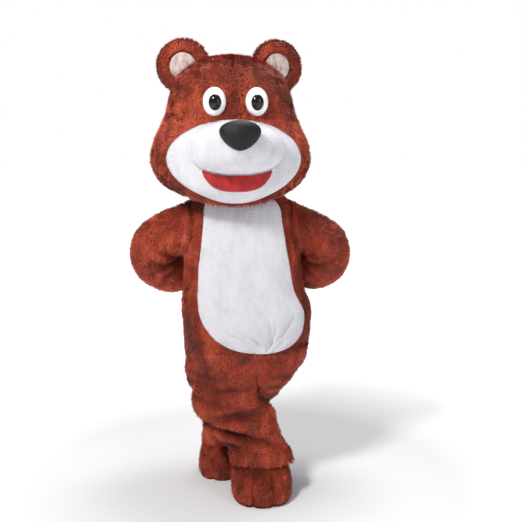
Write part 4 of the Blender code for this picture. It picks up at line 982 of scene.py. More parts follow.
def toe_creases(angles):
    """How far the outline is drawn in between the toes: 1 on each of the two creases."""
    off = np.abs(np.abs((angles + math.pi) % (2 * math.pi) - math.pi) - TOE_CREASE_ANGLE)
    near = np.clip(1 - off / TOE_CREASE_ANGLE, 0.0, 1.0)
    return 1 - np.sqrt(1 - near**2)


def foot_points(place, inset):
    """Rings of the foot from the ankle over the toes to the sole's edge."""
    knots = np.linspace(0.0, 1.0, len(FOOT_PROFILE))
    rows = np.linspace(0.0, 1.0, FOOT_ROWS)
    reach = smooth(knots, [row.reach for row in FOOT_PROFILE], rows)[:, None]
    height = smooth(knots, [row.height for row in FOOT_PROFILE], rows)[:, None]
    angles = foot_angles()[None, :]
    across, ahead = rounded(angles, FOOT_POWER)
    depth = np.where(ahead > 0, place.front, place.back)
    reach_x = ANKLE_HALF_WIDTH * (1 - reach) + place.half_width * reach
    reach_y = ANKLE_HALF_DEPTH * (1 - reach) + depth * reach
    creased = toe_creases(angles) * ease((reach - TOE_CREASE_START) / (1 - TOE_CREASE_START))
    drawn_in = 1 - TOE_CREASE_DEPTH / place.front * creased
    x = (reach_x - inset) * across * drawn_in
    y = -(reach_y - inset) * ahead * drawn_in
    z = np.maximum(height * (1 - TOE_CREASE_DROP * creased) - inset, 0.0) + 0 * x
    points = turned(np.stack([x, y, z], axis=-1), math.radians(place.turn))
    return points + np.array([place.x, place.y, 0.0])


# Meshes


def plain_mesh(name, points, faces):
    """A mesh in the row frame from points above the floor."""
    points = np.array(points, float).reshape(-1, 3)
    points[:, 2] -= SHOULDER_HEIGHT
    mesh = bpy.data.meshes.new(name)
    mesh.from_pydata(points.tolist(), [], faces)
    return mesh


def tidy_mesh(mesh, turn_out=True):
    """Closes the mesh's seams and poles, and turns its faces outwards."""
    work = bmesh.new()
    work.from_mesh(mesh)
    bmesh.ops.remove_doubles(work, verts=work.verts, dist=WELD)
    bmesh.ops.dissolve_degenerate(work, edges=work.edges, dist=WELD)
    if turn_out:
        bmesh.ops.recalc_face_normals(work, faces=work.faces)
    work.to_mesh(mesh)
    work.free()
    mesh.shade_smooth()
    return mesh


def add_piece(name, mesh, materials, body, slot, *nodes):
    """A finished piece that rides on its body and stands for its nodes."""
    piece = bpy.data.objects.new(name, mesh)
    bpy.context.scene.collection.objects.link(piece)
    for material in materials:
        mesh.materials.append(material)
    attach(piece, body)
    if nodes:
        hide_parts(*nodes)
    return piece


def wall_faces(rows, columns, wrap, drop):
    """The grid's faces, apart from those that the test drop takes out."""
    faces = grid_faces(rows, columns, wrap)
    return [face for face in faces if drop is None or not drop(face)]


def cloth_mesh(name, surface, rows, columns, face_inset, back_inset, wrap=False, drop=None):
    """A closed sheet of cloth: its face, its back (the second material) and turned edges."""
    faces = wall_faces(rows, columns, wrap, drop)
    outer = np.asarray(surface(face_inset)).reshape(-1, 3)
    inner = np.asarray(surface(back_inset)).reshape(-1, 3)
    count = len(outer)
    directed = {(face[i], face[(i + 1) % 4]) for face in faces for i in range(4)}
    rims = sorted((start, end) for start, end in directed if (end, start) not in directed)
    walls = list(faces) + [tuple(corner + count for corner in reversed(face)) for face in faces]
    walls += [(end, start, start + count, end + count) for start, end in rims]
    mesh = plain_mesh(name, np.concatenate([outer, inner]), walls)
    backs = np.zeros(len(walls), dtype=np.int32)
    backs[len(faces):2 * len(faces)] = 1
    mesh.polygons.foreach_set("material_index", backs)
    return tidy_mesh(mesh)


# Nodes of a tree, for the pile, the zip and the finishes


def join(tree, start, end):
    tree.links.new(start, end)


def feed(tree, entry, value):
    """Joins a socket to an input, or sets the input's own value."""
    if isinstance(value, bpy.types.NodeSocket):
        join(tree, value, entry)
    else:
        entry.default_value = value


def new_node(tree, kind, inputs, **fields):
    """A node with its fields set, and its inputs fed by name or by place."""
    node = tree.nodes.new(kind)
    for field, value in fields.items():
        setattr(node, field, value)
    for key, value in inputs.items():
        feed(tree, node.inputs[key], value)
    return node


def new_tree(name, kind, inputs, output, output_kind):
    """A tree with named inputs and one output, then what comes into it and where its result goes."""
    tree = bpy.data.node_groups.new(name, kind)
    for title, socket_kind, default in inputs:
        made = tree.interface.new_socket(name=title, in_out="INPUT", socket_type=socket_kind)
        if default is not None:
            made.default_value = default
    tree.interface.new_socket(name=output, in_out="OUTPUT", socket_type=output_kind)
    given = tree.nodes.new("NodeGroupInput").outputs
    result = tree.nodes.new("NodeGroupOutput").inputs[output]
    return tree, given, result


def math_node(tree, operation, *values):
    return new_node(tree, "ShaderNodeMath", dict(enumerate(values)), operation=operation).outputs[0]


def vector_node(tree, operation, *values, scale=None):
    inputs = dict(enumerate(values))
    if scale is not None:
        inputs["Scale"] = scale
    node = new_node(tree, "ShaderNodeVectorMath", inputs, operation=operation)
    return node.outputs["Value" if operation in ("DOT_PRODUCT", "LENGTH") else "Vector"]


def noise_node(tree, place, scale, detail=3.0):
    return new_node(tree, "ShaderNodeTexNoise", {"Vector": place, "Scale": scale, "Detail": detail})


def stored(tree, geometry, name, value, domain):
    """The geometry, with a number kept on it under a name."""
    node = new_node(
        tree,
        "GeometryNodeStoreNamedAttribute",
        {"Geometry": geometry, "Name": name, "Value": value},
        data_type="FLOAT",
        domain=domain,
    )
    return node.outputs["Geometry"]


def made_real(tree, instances, material):
    """The instances as one mesh, in its material."""
    real = new_node(tree, "GeometryNodeRealizeInstances", {"Geometry": instances})
    inputs = {"Geometry": real.outputs["Geometry"], "Material": material}
    return new_node(tree, "GeometryNodeSetMaterial", inputs).outputs["Geometry"]


# Pile, grown on the outer face of a piece


def tuft_shape(tree):
    """One tuft: a flat kite standing on its point, one long, in the X and Z plane."""
    sizes = {"Size X": 1.0, "Size Y": 1.0, "Vertices X": 2, "Vertices Y": 2}
    shape = new_node(tree, "GeometryNodeMeshGrid", sizes).outputs["Mesh"]
    half_diagonal = math.sqrt(0.5)
    turned_to_point = {"Rotation": (0.0, 0.0, math.radians(45))}
    fitted = {"Scale": (half_diagonal, half_diagonal, 1.0), "Translation": (0.0, 0.5, 0.0)}
    stood_up = {"Rotation": (math.radians(90), 0.0, 0.0)}
    for step in (turned_to_point, fitted, stood_up):
        shape = new_node(tree, "GeometryNodeTransform", {"Geometry": shape, **step}).outputs["Geometry"]
    place = tree.nodes.new("GeometryNodeInputPosition").outputs[0]
    height = new_node(tree, "ShaderNodeSeparateXYZ", {0: place}).outputs["Z"]
    return stored(tree, shape, "along", height, "POINT")


def drawn(tree, chance, seed):
    """A number drawn for each tuft between two limits."""
    own_seed = math_node(tree, "ADD", seed, chance.seed)
    inputs = {2: chance.low, 3: chance.high, "Seed": own_seed}
    return new_node(tree, "FunctionNodeRandomValue", inputs, data_type="FLOAT").outputs[1]


def pile_tree():
    """The plush's pile: tufts spread over a face, leaning along its nap and gathered into locks."""
    inputs = (
        ("Geometry", "NodeSocketGeometry", None),
        ("Density", "NodeSocketFloat", 90000.0),
        ("Length", "NodeSocketFloat", 0.015),
        ("Width", "NodeSocketFloat", 0.0026),
        ("Lean", "NodeSocketFloat", math.radians(62)),
        ("Lock size", "NodeSocketFloat", 0.030),
        ("Lock strength", "NodeSocketFloat", 1.1),
        ("Seed", "NodeSocketInt", 0),
        ("Material", "NodeSocketMaterial", None),
    )
    tree, given, result = new_tree("Plush pile", "GeometryNodeTree", inputs, "Geometry", "NodeSocketGeometry")
    seed = given["Seed"]
    spread_out = {"Mesh": given["Geometry"], "Density": given["Density"], "Seed": seed}
    spreader = new_node(tree, "GeometryNodeDistributePointsOnFaces", spread_out)
    normal = spreader.outputs["Normal"]

    nap = new_node(tree, "GeometryNodeInputNamedAttribute", {"Name": "nap"}, data_type="FLOAT_VECTOR")
    place = tree.nodes.new("GeometryNodeInputPosition").outputs[0]
    locks = noise_node(tree, place, math_node(tree, "DIVIDE", 1.0, given["Lock size"]), 2.0)
    swirl = vector_node(tree, "SUBTRACT", locks.outputs["Color"], (0.5, 0.5, 0.5))
    strength = math_node(tree, "MULTIPLY", given["Lock strength"], LOCK_SWIRL)
    swirled = vector_node(tree, "SCALE", swirl, scale=strength)
    flow = vector_node(tree, "ADD", nap.outputs["Attribute"], swirled)
    rise = vector_node(tree, "SCALE", normal, scale=vector_node(tree, "DOT_PRODUCT", flow, normal))
    flat = vector_node(tree, "NORMALIZE", vector_node(tree, "SUBTRACT", flow, rise))

    lean = math_node(tree, "ADD", given["Lean"], drawn(tree, LEAN_CHANCE, seed))
    upright = vector_node(tree, "SCALE", normal, scale=math_node(tree, "COSINE", lean))
    lying = vector_node(tree, "SCALE", flat, scale=math_node(tree, "SINE", lean))
    heading = vector_node(tree, "ADD", upright, lying)
    limits = {0: (-TUFT_STRAY,) * 3, 1: (TUFT_STRAY,) * 3, "Seed": seed}
    stray = new_node(tree, "FunctionNodeRandomValue", limits, data_type="FLOAT_VECTOR").outputs[0]
    heading = vector_node(tree, "NORMALIZE", vector_node(tree, "ADD", heading, stray))
    sideways = vector_node(tree, "CROSS_PRODUCT", heading, normal)
    axes = {0: heading, 1: sideways}
    aim = new_node(tree, "FunctionNodeAxesToRotation", axes, primary_axis="Z", secondary_axis="X")

    length = math_node(tree, "MULTIPLY", given["Length"], drawn(tree, LENGTH_CHANCE, seed))
    width = math_node(tree, "MULTIPLY", given["Width"], drawn(tree, WIDTH_CHANCE, seed))
    planted = {
        "Points": spreader.outputs["Points"],
        "Instance": tuft_shape(tree),
        "Rotation": aim.outputs[0],
        "Scale": new_node(tree, "ShaderNodeCombineXYZ", {0: width, 1: 1.0, 2: length}).outputs[0],
    }
    tufts = new_node(tree, "GeometryNodeInstanceOnPoints", planted).outputs["Instances"]
    tinted = stored(tree, tufts, "tint", drawn(tree, TINT_CHANCE, seed), "INSTANCE")
    join(tree, made_real(tree, tinted, given["Material"]), result)
    return tree


def grown(name, base, tree, values):
    """A plain mesh of what a tree of nodes makes on a base mesh."""
    carrier = bpy.data.objects.new(name, base)
    bpy.context.scene.collection.objects.link(carrier)
    made = carrier.modifiers.new("grow", "NODES")
    made.node_group = tree
    names = {item.name: item.identifier for item in tree.interface.items_tree if item.in_out == "INPUT"}
    for key, value in values.items():
        made[names[key]] = value
    bpy.context.view_layer.update()
    deps = bpy.context.evaluated_depsgraph_get()
    mesh = bpy.data.meshes.new_from_object(carrier.evaluated_get(deps), depsgraph=deps)
    bpy.data.objects.remove(carrier)
    bpy.data.meshes.remove(base)
    mesh.name = name
    return mesh


def facing_out(points, inner, faces):
    """The faces, turned round if they face the inner points."""
    outer = np.asarray(points).reshape(-1, 3)
    inside = np.asarray(inner).reshape(-1, 3)
    corners = np.array(faces)
    first, second, third, fourth = (outer[corners[:, place]] for place in range(4))
    normals = np.cross(third - first, fourth - second)
    outwards = (outer - inside)[corners[:, 0]]
    if float((normals * outwards).sum()) >= 0:
        return faces
    return [tuple(reversed(face)) for face in faces]


def along_rows(points):
    """The nap's direction: from one row to the next, as the plush is brushed."""
    flow = np.gradient(points, axis=0)
    return flow / np.maximum(np.linalg.norm(flow, axis=-1, keepdims=True), LEAST_LENGTH)


def put_values(mesh, name, kind, field, values):
    flat = np.ascontiguousarray(values, dtype=np.float32).reshape(-1)
    mesh.attributes.new(name, kind, "POINT").data.foreach_set(field, flat)


def bed_mesh(name, surface, rows, columns, wrap, drop, crease=None, bare_rows=0):
    """The outer face that the pile grows from, with the nap's direction and how much painted shade each point
    takes in a fold or beside a seam.
    """
    points = np.asarray(surface(PILE_ROOT))
    faces = facing_out(points, surface(CLOTH_BACK), wall_faces(rows - bare_rows, columns, wrap, drop))
    mesh = plain_mesh(name, points, faces)
    put_values(mesh, "nap", "FLOAT_VECTOR", "vector", along_rows(points))
    # The share of painted shade in folds and beside seams, kept on each point for the pile's colour
    if crease is None:
        crease = np.zeros((rows, columns))
    put_values(mesh, "crease", "FLOAT", "value", crease)
    return mesh


def plush_piece(node, surface, rows, columns, body, wrap=False, drop=None, crease=None, bare_rows=0):
    """A cut and sewn piece of brown plush: the cloth and the pile that grows on it."""
    mesh = cloth_mesh(f"{node}_plush", surface, rows, columns, PILE_ROOT, CLOTH_BACK, wrap, drop)
    cloth = [finish("plush ground"), finish("knitted backing")]
    piece = add_piece(mesh.name, mesh, cloth, body, "brown_fur", node)
    bed = bed_mesh(f"{node}_bed", surface, rows, columns, wrap, drop, crease, bare_rows)
    pile = grow_pile(node, bed, body, "brown_fur")


def grow_pile(node, bed, body, slot):
    """The pile of a node's plush, grown on its bed."""
    plush = bpy.context.scene.costume_plush
    tree = bpy.data.node_groups.get("Plush pile") or pile_tree()
    mesh = grown(
        f"{node}_pile",
        bed,
        tree,
        {
            "Density": plush.density,
            "Length": plush.length,
            "Width": plush.width,
            "Lean": plush.lean,
            "Lock size": plush.lock_size,
            "Lock strength": plush.lock_strength,
            "Seed": sum(ord(letter) for letter in node),
            "Material": finish("brown pile"),
        },
    )
    return add_piece(mesh.name, mesh, [], body, slot)


# Finishes


def finish(name):
    """A finish by its name, made the first time that it is asked for."""
    made = bpy.data.materials.get(name)
    if made:
        return made
    if name in CLOTHS:
        return cloth_finish(name, CLOTHS[name])
    if name in HARD_PARTS:
        return hard_finish(name, HARD_PARTS[name])
    return FINISH_MAKERS[name](name)


def new_finish(name, roughness, metallic=0.0):
    made = bpy.data.materials.new(name)
    made.use_nodes = True
    tree = made.node_tree
    shader = tree.nodes["Principled BSDF"]
    shader.inputs["Roughness"].default_value = roughness
    shader.inputs["Metallic"].default_value = metallic
    return made, tree, shader


def use_group(tree, name, maker, values):
    """A shared group in a material, with its own values."""
    group = bpy.data.node_groups.get(name) or maker(name)
    return new_node(tree, "ShaderNodeGroup", values, node_tree=group)


def object_place(tree):
    return tree.nodes.new("ShaderNodeTexCoord").outputs["Object"]


def noise(tree, place, scale, detail=3.0):
    return noise_node(tree, place, scale, detail).outputs["Fac"]


def remap(tree, value, low, high, start=0.0, end=1.0):
    inputs = {"Value": value, "From Min": low, "From Max": high, "To Min": start, "To Max": end}
    return new_node(tree, "ShaderNodeMapRange", inputs).outputs["Result"]


def mix_colours(tree, share, first, second):
    """One colour going over into another; a colour is a socket or three numbers."""
    inputs = {0: share}
    for place, value in ((6, first), (7, second)):
        inputs[place] = (*value, 1.0) if isinstance(value, tuple) else value
    return new_node(tree, "ShaderNodeMix", inputs, data_type="RGBA").outputs[2]


def tone_and_sheen_group(name):
    """Light and dark patches at two sizes: colour that differs at random on cloth, painted sheen and shade on
    the brown pile.
    """
    inputs = (
        ("Base", "NodeSocketColor", None),
        ("Light", "NodeSocketColor", None),
        ("Dark", "NodeSocketColor", None),
        ("Patch size", "NodeSocketFloat", 0.12),
    )
    tree, given, result = new_tree(name, "ShaderNodeTree", inputs, "Colour", "NodeSocketColor")
    streaked = vector_node(tree, "MULTIPLY", object_place(tree), PATCH_STREAK)
    parts = []
    for fineness, detail, share in PATCH_SIZES:
        scale = math_node(tree, "DIVIDE", fineness, given["Patch size"])
        parts.append(math_node(tree, "MULTIPLY", noise(tree, streaked, scale, detail), share))
    both = math_node(tree, "ADD", *parts)
    darker = mix_colours(tree, remap(tree, both, *DARK_RANGE), given["Base"], given["Dark"])
    join(tree, mix_colours(tree, remap(tree, both, *LIGHT_RANGE), darker, given["Light"]), result)
    return tree


def weave_group(name):
    """Crossed threads with a little unevenness, as a height from 0 to 1."""
    inputs = (
        ("Pitch", "NodeSocketFloat", 0.003),
        ("Unevenness", "NodeSocketFloat", 0.35),
    )
    tree, given, result = new_tree(name, "ShaderNodeTree", inputs, "Height", "NodeSocketFloat")
    place = object_place(tree)
    scale = math_node(tree, "DIVIDE", 0.31416, given["Pitch"])
    bands = []
    for direction in ("X", "Z"):
        threads = {"Vector": place, "Scale": scale, "Distortion": 0.6, "Detail": 1.0}
        wave = new_node(tree, "ShaderNodeTexWave", threads, bands_direction=direction)
        bands.append(wave.outputs["Fac"])
    crossed = math_node(tree, "MULTIPLY", math_node(tree, "ADD", *bands), 0.5)
    grain = noise(tree, place, math_node(tree, "DIVIDE", 2.6, given["Pitch"]), 2.0)
    uneven = math_node(tree, "MULTIPLY", grain, given["Unevenness"])
    join(tree, math_node(tree, "ADD", crossed, uneven), result)
    return tree


def bump(tree, shader, height, distance):
    node = new_node(tree, "ShaderNodeBump", {"Height": height, "Distance": distance, "Strength": 1.0})
    join(tree, node.outputs["Normal"], shader.inputs["Normal"])


def attribute(tree, name):
    return new_node(tree, "ShaderNodeAttribute", {}, attribute_name=name).outputs["Fac"]


def tone_and_sheen_patches(tree, base, light, dark, size):
    values = {"Base": (*base, 1.0), "Light": (*light, 1.0), "Dark": (*dark, 1.0), "Patch size": size}
    return use_group(tree, "Plush mottle", tone_and_sheen_group, values).outputs["Colour"]


def brown_pile(name):
    """Glossy long pile: painted shade towards its roots, in folds and beside seams, painted sheen and shade
    in patches, each tuft a little different.
    """
    plush = bpy.context.scene.costume_plush
    brown, light, dark = tuple(plush.colour), tuple(plush.light), tuple(plush.dark)
    made, tree, shader = new_finish(name, PILE_ROUGHNESS)
    own_tint = remap(tree, attribute(tree, "tint"), 0.0, 1.0, 0.0, PILE_TINT_SHARE)
    # Painted sheen and shade: light and dark patches streaked along the nap
    varied = mix_colours(tree, own_tint, tone_and_sheen_patches(tree, brown, light, dark, PILE_SHEEN_PATCH), light)
    # Painted shade: darker towards each tuft's root, where the pile shades itself
    roots = remap(tree, attribute(tree, "along"), 0.0, PILE_ROOT_SHADE_END, PILE_ROOT_SHADE_SHARE, 0.0)
    root_shaded = mix_colours(tree, roots, varied, dark)
    # Painted shade: darker in the folds and beside the seams, by the share stored on the bed
    fold_shade = remap(tree, attribute(tree, "crease"), *PILE_FOLD_SHADE_RANGE, 0.0, PILE_FOLD_SHADE_SHARE)
    join(tree, mix_colours(tree, fold_shade, root_shaded, dark), shader.inputs["Base Color"])
    shader.inputs["Sheen Weight"].default_value = PILE_SHEEN
    shader.inputs["Sheen Roughness"].default_value = PILE_SHEEN_ROUGHNESS
    shader.inputs["Sheen Tint"].default_value = PILE_SHEEN_TINT
    shader.inputs["Specular IOR Level"].default_value = PILE_GLOSS
    return made


def cloth_finish(name, cloth, sheen=CLOTH_SHEEN):
    """Woven or short-piled cloth: soft patches of colour over crossed threads."""
    made, tree, shader = new_finish(name, CLOTH_ROUGHNESS)
    join(tree, tone_and_sheen_patches(tree, cloth.base, cloth.light, cloth.dark, cloth.patch), shader.inputs["Base Color"])
    values = {"Pitch": cloth.pitch, "Unevenness": cloth.uneven}
    weave = use_group(tree, "Crossed threads", weave_group, values)
    bump(tree, shader, weave.outputs["Height"], cloth.depth)
    shader.inputs["Sheen Weight"].default_value = sheen
    shader.inputs["Sheen Roughness"].default_value = CLOTH_SHEEN_ROUGHNESS
    return made


def plush_ground(name):
    """The cloth under the pile, seen only where the pile parts."""
    plush = bpy.context.scene.costume_plush
    darker = tuple(part * GROUND_SHADE for part in plush.colour)
    return cloth_finish(name, Cloth(darker, plush.colour, plush.dark, 0.09, 0.0024, 0.9, 0.0012), sheen=0.0)


def white_plush(name):
    """Short white plush with a coarse even grain."""
    white = tuple(bpy.context.scene.costume_plush.white)
    shade = (white[0] * 0.90, white[1] * 0.90, white[2] * 0.93)
    light = tuple(min(part * 1.05, 0.95) for part in white)
    return cloth_finish(name, Cloth(white, light, shade, 0.07, 0.0056, 0.8, 0.0050))


def hard_finish(name, hard):
    """A moulded or painted finish with fine grain and small changes of gloss."""
    made, tree, shader = new_finish(name, hard.roughness, hard.metallic)
    place = object_place(tree)
    colour = mix_colours(tree, noise(tree, place, PATCH_SCALE), hard.base, hard.light)
    join(tree, colour, shader.inputs["Base Color"])
    limits = [hard.roughness * share for share in WEAR_SHARES]
    roughness = remap(tree, noise(tree, place, WEAR_SCALE), *WEAR_RANGE, *limits)
    join(tree, roughness, shader.inputs["Roughness"])
    bump(tree, shader, noise(tree, place, hard.grain, 2.0), hard.depth)
    shader.inputs["Coat Weight"].default_value = hard.coat
    shader.inputs["Coat Roughness"].default_value = COAT_ROUGHNESS
    shader.inputs["Specular IOR Level"].default_value = hard.gloss
    return made


def studio_floor(name):
    """A pale floor that goes over into white round about."""
    made, tree, shader = new_finish(name, 0.9)
    place = object_place(tree)
    pale = mix_colours(tree, noise(tree, place, 1.5), (0.86, 0.86, 0.86), (0.90, 0.90, 0.90))
    join(tree, pale, shader.inputs["Base Color"])
    away = vector_node(tree, "LENGTH", vector_node(tree, "MULTIPLY", place, (1.0, 1.0, 0.0)))
    white = remap(tree, away, FLOOR_WHITE_FROM, FLOOR_WHITE_AT)
    glow = mix_colours(tree, white, (0.0, 0.0, 0.0), (1.0, 1.0, 1.0))
    join(tree, glow, shader.inputs["Emission Color"])
    shader.inputs["Emission Strength"].default_value = 1.0
    return made


FINISH_MAKERS = {
    "brown pile": brown_pile,
    "plush ground": plush_ground,
    "white plush": white_plush,
    "studio floor": studio_floor,
}


# Pieces of the suit


def painted_fold_shade(folds, places, columns, length, girth):
    """How deep each point lies in a fold, from 0 to 1 at the deepest, as a share of painted shade."""
    around = np.linspace(0.0, 1.0, columns, endpoint=False)[None, :]
    depth = fold_depth(folds, np.asarray(places)[:, None], around, length, girth)
    return depth / depth.max()


def painted_seam_shade(count):
    """How near each place is to a seam at the first, from 1 on it to 0, as a share of painted shade beside
    the seam.
    """
    return np.exp(-((np.arange(count) / SEAM_SHADE_STEPS) ** 2))


def build_torso():
    heights = torso_heights()
    # Painted shade beside the armhole seams
    armhole_seam_shade = (armhole_half_angle(heights) > 0)[:, None] * painted_seam_shade(PANEL_COLUMNS)[None, :]
    gap = seam_angle(heights)
    armhole = armhole_half_angle(heights)
    belly_edge = belly_half_angle(heights)
    front_edges = (belly_edge + gap, SIDE_SEAM - armhole - 2 * gap)
    back_edges = (SIDE_SEAM + armhole + 2 * gap, math.pi - zip_half_angle(heights) - gap)
    for part, edges in (("front", front_edges), ("back", back_edges)):
        for side, sign in (("left", 1), ("right", -1)):
            low, high = sign * edges[0], sign * edges[1]
            node = f"{part}_{side}"
            crease = armhole_seam_shade[:, ::-1] if part == "front" else armhole_seam_shade
            plush_piece(
                node,
                lambda inset, low=low, high=high: panel(heights, PANEL_COLUMNS, low, high, inset),
                len(heights), PANEL_COLUMNS, "suit", crease=crease,
            )


def build_belly():
    heights = torso_heights()
    edge = np.maximum(belly_half_angle(heights) - 2 * seam_angle(heights), 0.0)
    rows = heights[heights >= BELLY_BOTTOM - WELD]
    edge = edge[: len(rows)]
    mesh = cloth_mesh(
        "belly_plush",
        lambda inset: belly_points(rows, edge, inset),
        len(rows), BELLY_COLUMNS, WHITE_PILE, WHITE_BACK,
    )
    cloth = [finish("white plush"), finish("knitted backing")]
    piece = add_piece(mesh.name, mesh, cloth, "suit", "white_plush", "belly")


def build_arms():
    places = np.linspace(0.0, 1.0, SLEEVE_ROWS)
    for side, arm in (("right", ARM_RIGHT), ("left", ARM_LEFT)):
        sleeve, mitt = f"sleeve_{side}", f"mitt_{side}"
        plush_piece(
            sleeve, lambda inset, arm=arm: sleeve_points(arm, places, inset),
            SLEEVE_ROWS, ARM_COLUMNS, "suit", wrap=True,
            # Painted shade in the sleeve's folds and beside the armhole seam
            crease=np.maximum(
                painted_fold_shade(SLEEVE_FOLDS, places, ARM_COLUMNS, ARM_LENGTH, ARM_GIRTH),
                painted_seam_shade(SLEEVE_ROWS)[:, None],
            ),
        )
        plush_piece(
            mitt, lambda inset, arm=arm: mitt_points(arm, inset),
            MITT_ROWS, ARM_COLUMNS, "suit", wrap=True,
        )


def build_legs():
    heights = leg_heights()

    def above_crotch(face):
        row, place = divmod(face[0], LEG_COLUMNS)
        return row < HIP_ROWS and place >= LEG_OUTER_STEPS

    for side, rows, sign in (("right", LEG_RIGHT, -1), ("left", LEG_LEFT, 1)):
        node = f"leg_{side}"
        plush_piece(
            node, lambda inset, rows=rows, sign=sign: leg_points(rows, sign, heights, inset),
            len(heights), LEG_COLUMNS, "suit", wrap=True, drop=above_crotch,
            # Painted shade in the leg's folds
            crease=painted_fold_shade(LEG_FOLDS, heights, LEG_COLUMNS, 1.0, LEG_GIRTH),
        )


def build_feet():
    """The foot covers, and the flat sole under each."""
    for place in (FOOT_RIGHT, FOOT_LEFT):
        node = f"foot_{place.side}"
        plush_piece(
            node, lambda inset, place=place: foot_points(place, inset),
            FOOT_ROWS, FOOT_COLUMNS, "suit", wrap=True, bare_rows=FOOT_BARE_ROWS,
        )
        edge = foot_points(place, PILE_ROOT)[-1]
        middle = edge.mean(axis=0)
        shares = np.linspace(1.0, 0.0, SOLE_RINGS)[:, None, None]
        rings = middle + (edge - middle)[None] * shares
        rings[..., 2] = SOLE_BOTTOM
        lifted = rings.copy()
        lifted[..., 2] = SOLE_TOP
        mesh = cloth_mesh(
            f"sole_{place.side}", lambda inset, low=rings, high=lifted: high if inset else low,
            len(rings), FOOT_COLUMNS, 0.0, 1.0, wrap=True,
        )
        cloth = [finish("plush ground"), finish("knitted backing")]
        sole = add_piece(mesh.name, mesh, cloth, "suit", "brown_fur")


# Back zip


def zip_heights(step):
    return np.arange(ZIP_TOP, ZIP_BOTTOM, -step)


def teeth_tree():
    """Teeth set at an even pitch along a line, facing the way that each point of it says."""
    inputs = (
        ("Geometry", "NodeSocketGeometry", None),
        ("Tooth size", "NodeSocketVector", (0.0030, 0.0016, 0.0012)),
        ("Material", "NodeSocketMaterial", None),
    )
    tree, given, result = new_tree("Zip teeth", "GeometryNodeTree", inputs, "Geometry", "NodeSocketGeometry")
    tooth = new_node(tree, "GeometryNodeMeshCube", {"Size": given["Tooth size"]})
    facing = new_node(tree, "GeometryNodeInputNamedAttribute", {"Name": "facing"}, data_type="FLOAT_VECTOR")
    axes = {0: facing.outputs["Attribute"], 1: (0.0, 0.0, 1.0)}
    aim = new_node(tree, "FunctionNodeAxesToRotation", axes, primary_axis="Y", secondary_axis="Z")
    row = {"Points": given["Geometry"], "Instance": tooth.outputs["Mesh"], "Rotation": aim.outputs[0]}
    teeth = new_node(tree, "GeometryNodeInstanceOnPoints", row).outputs["Instances"]
    join(tree, made_real(tree, teeth, given["Material"]), result)
    return tree


def line_on_back(name, sideways, step, out, start=0.0):
    """Points down the zip, each with the way out of the back."""
    heights = zip_heights(step)[2:-2] - start
    angles = math.pi + sideways / column(TORSO, "height", "back", heights)
    points = torso_point(angles, heights, -out)
    facing = torso_point(angles, heights, -out - FACING_STEP) - points
    facing = facing / np.linalg.norm(facing, axis=-1, keepdims=True)
    mesh = plain_mesh(name, points, [])
    put_values(mesh, "facing", "FLOAT_VECTOR", "vector", facing)
    return mesh


def set_in_rows(name, line, size, look, slot):
    """Teeth or stitches of one size along a line on the back."""
    tree = bpy.data.node_groups.get("Zip teeth") or teeth_tree()
    mesh = grown(name, line, tree, {"Tooth size": size, "Material": finish(look)})
    add_piece(name, mesh, [], "suit", slot)


def build_zip():
    """The tape, its two rows of teeth, the stitches beside them, and the metal of slider and pull."""
    pitch = bpy.context.scene.costume_sewing.tooth_pitch
    heights = np.linspace(ZIP_TOP - ZIP_TAPE_END, ZIP_BOTTOM + ZIP_TAPE_END, ZIP_TAPE_ROWS)
    reach = (ZIP_SLOT_WIDTH / 2 - 2 * SEAM_GAP) / column(TORSO, "height", "back", heights)
    edges = (math.pi - reach, math.pi + reach)
    mesh = cloth_mesh(
        "zip_tape_woven",
        lambda inset: panel(heights, ZIP_TAPE_COLUMNS, *edges, ZIP_TAPE_DEPTH + inset),
        len(heights), ZIP_TAPE_COLUMNS, ZIP_TAPE_FACE, ZIP_TAPE_BACK,
    )
    tape = add_piece(mesh.name, mesh, [finish("woven tape")], "suit", "zip_tape", "zip_tape")
    for side, sign, start in (("left", 1, 0.0), ("right", -1, pitch / 2)):
        name = f"zip_teeth_{side}"
        line = line_on_back(name, sign * TOOTH_OFFSET, pitch, TOOTH_RISE - ZIP_TAPE_DEPTH, start)
        set_in_rows(name, line, (*TOOTH_SIZE, pitch * TOOTH_SHARE), "zip metal", "zip_metal")
    for side, sign in (("left", 1), ("right", -1)):
        name = f"zip_stitches_{side}"
        line = line_on_back(name, sign * STITCH_OFFSET, STITCH_PITCH, -ZIP_TAPE_DEPTH - STITCH_DEPTH)
        set_in_rows(name, line, STITCH_SIZE, "sewing thread", "zip_tape")
    for node in ("zip_slider", "zip_pull"):
        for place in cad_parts[node].material_slots:
            place.material = finish("zip metal")


# Pieces of the head


def build_hood():
    """The plush of the hood in two halves, and the foam that it is stretched over."""
    places = hood_places()
    rows = len(places)
    # Painted shade along the hood's middle seam over the crown and along its back seam
    crown = (places < FACE_CENTRE - FACE_HALF_SPAN)[:, None] * painted_seam_shade(HOOD_COLUMNS)[None, :]
    seams = np.maximum(crown, painted_seam_shade(HOOD_COLUMNS)[None, ::-1])
    for side, sign in (("left", 1), ("right", -1)):
        node = f"hood_{side}"
        plush_piece(
            node, lambda inset, sign=sign: hood_points(sign, inset),
            rows, HOOD_COLUMNS, "head", crease=seams * HOOD_SEAM_SHADE,
        )
        mesh = cloth_mesh(
            f"hood_foam_{side}", lambda inset, sign=sign: hood_points(sign, inset),
            rows, HOOD_COLUMNS, FOAM_FACE, FOAM_BACK,
        )
        foam = add_piece(mesh.name, mesh, [finish("head foam")], "head", "brown_fur")


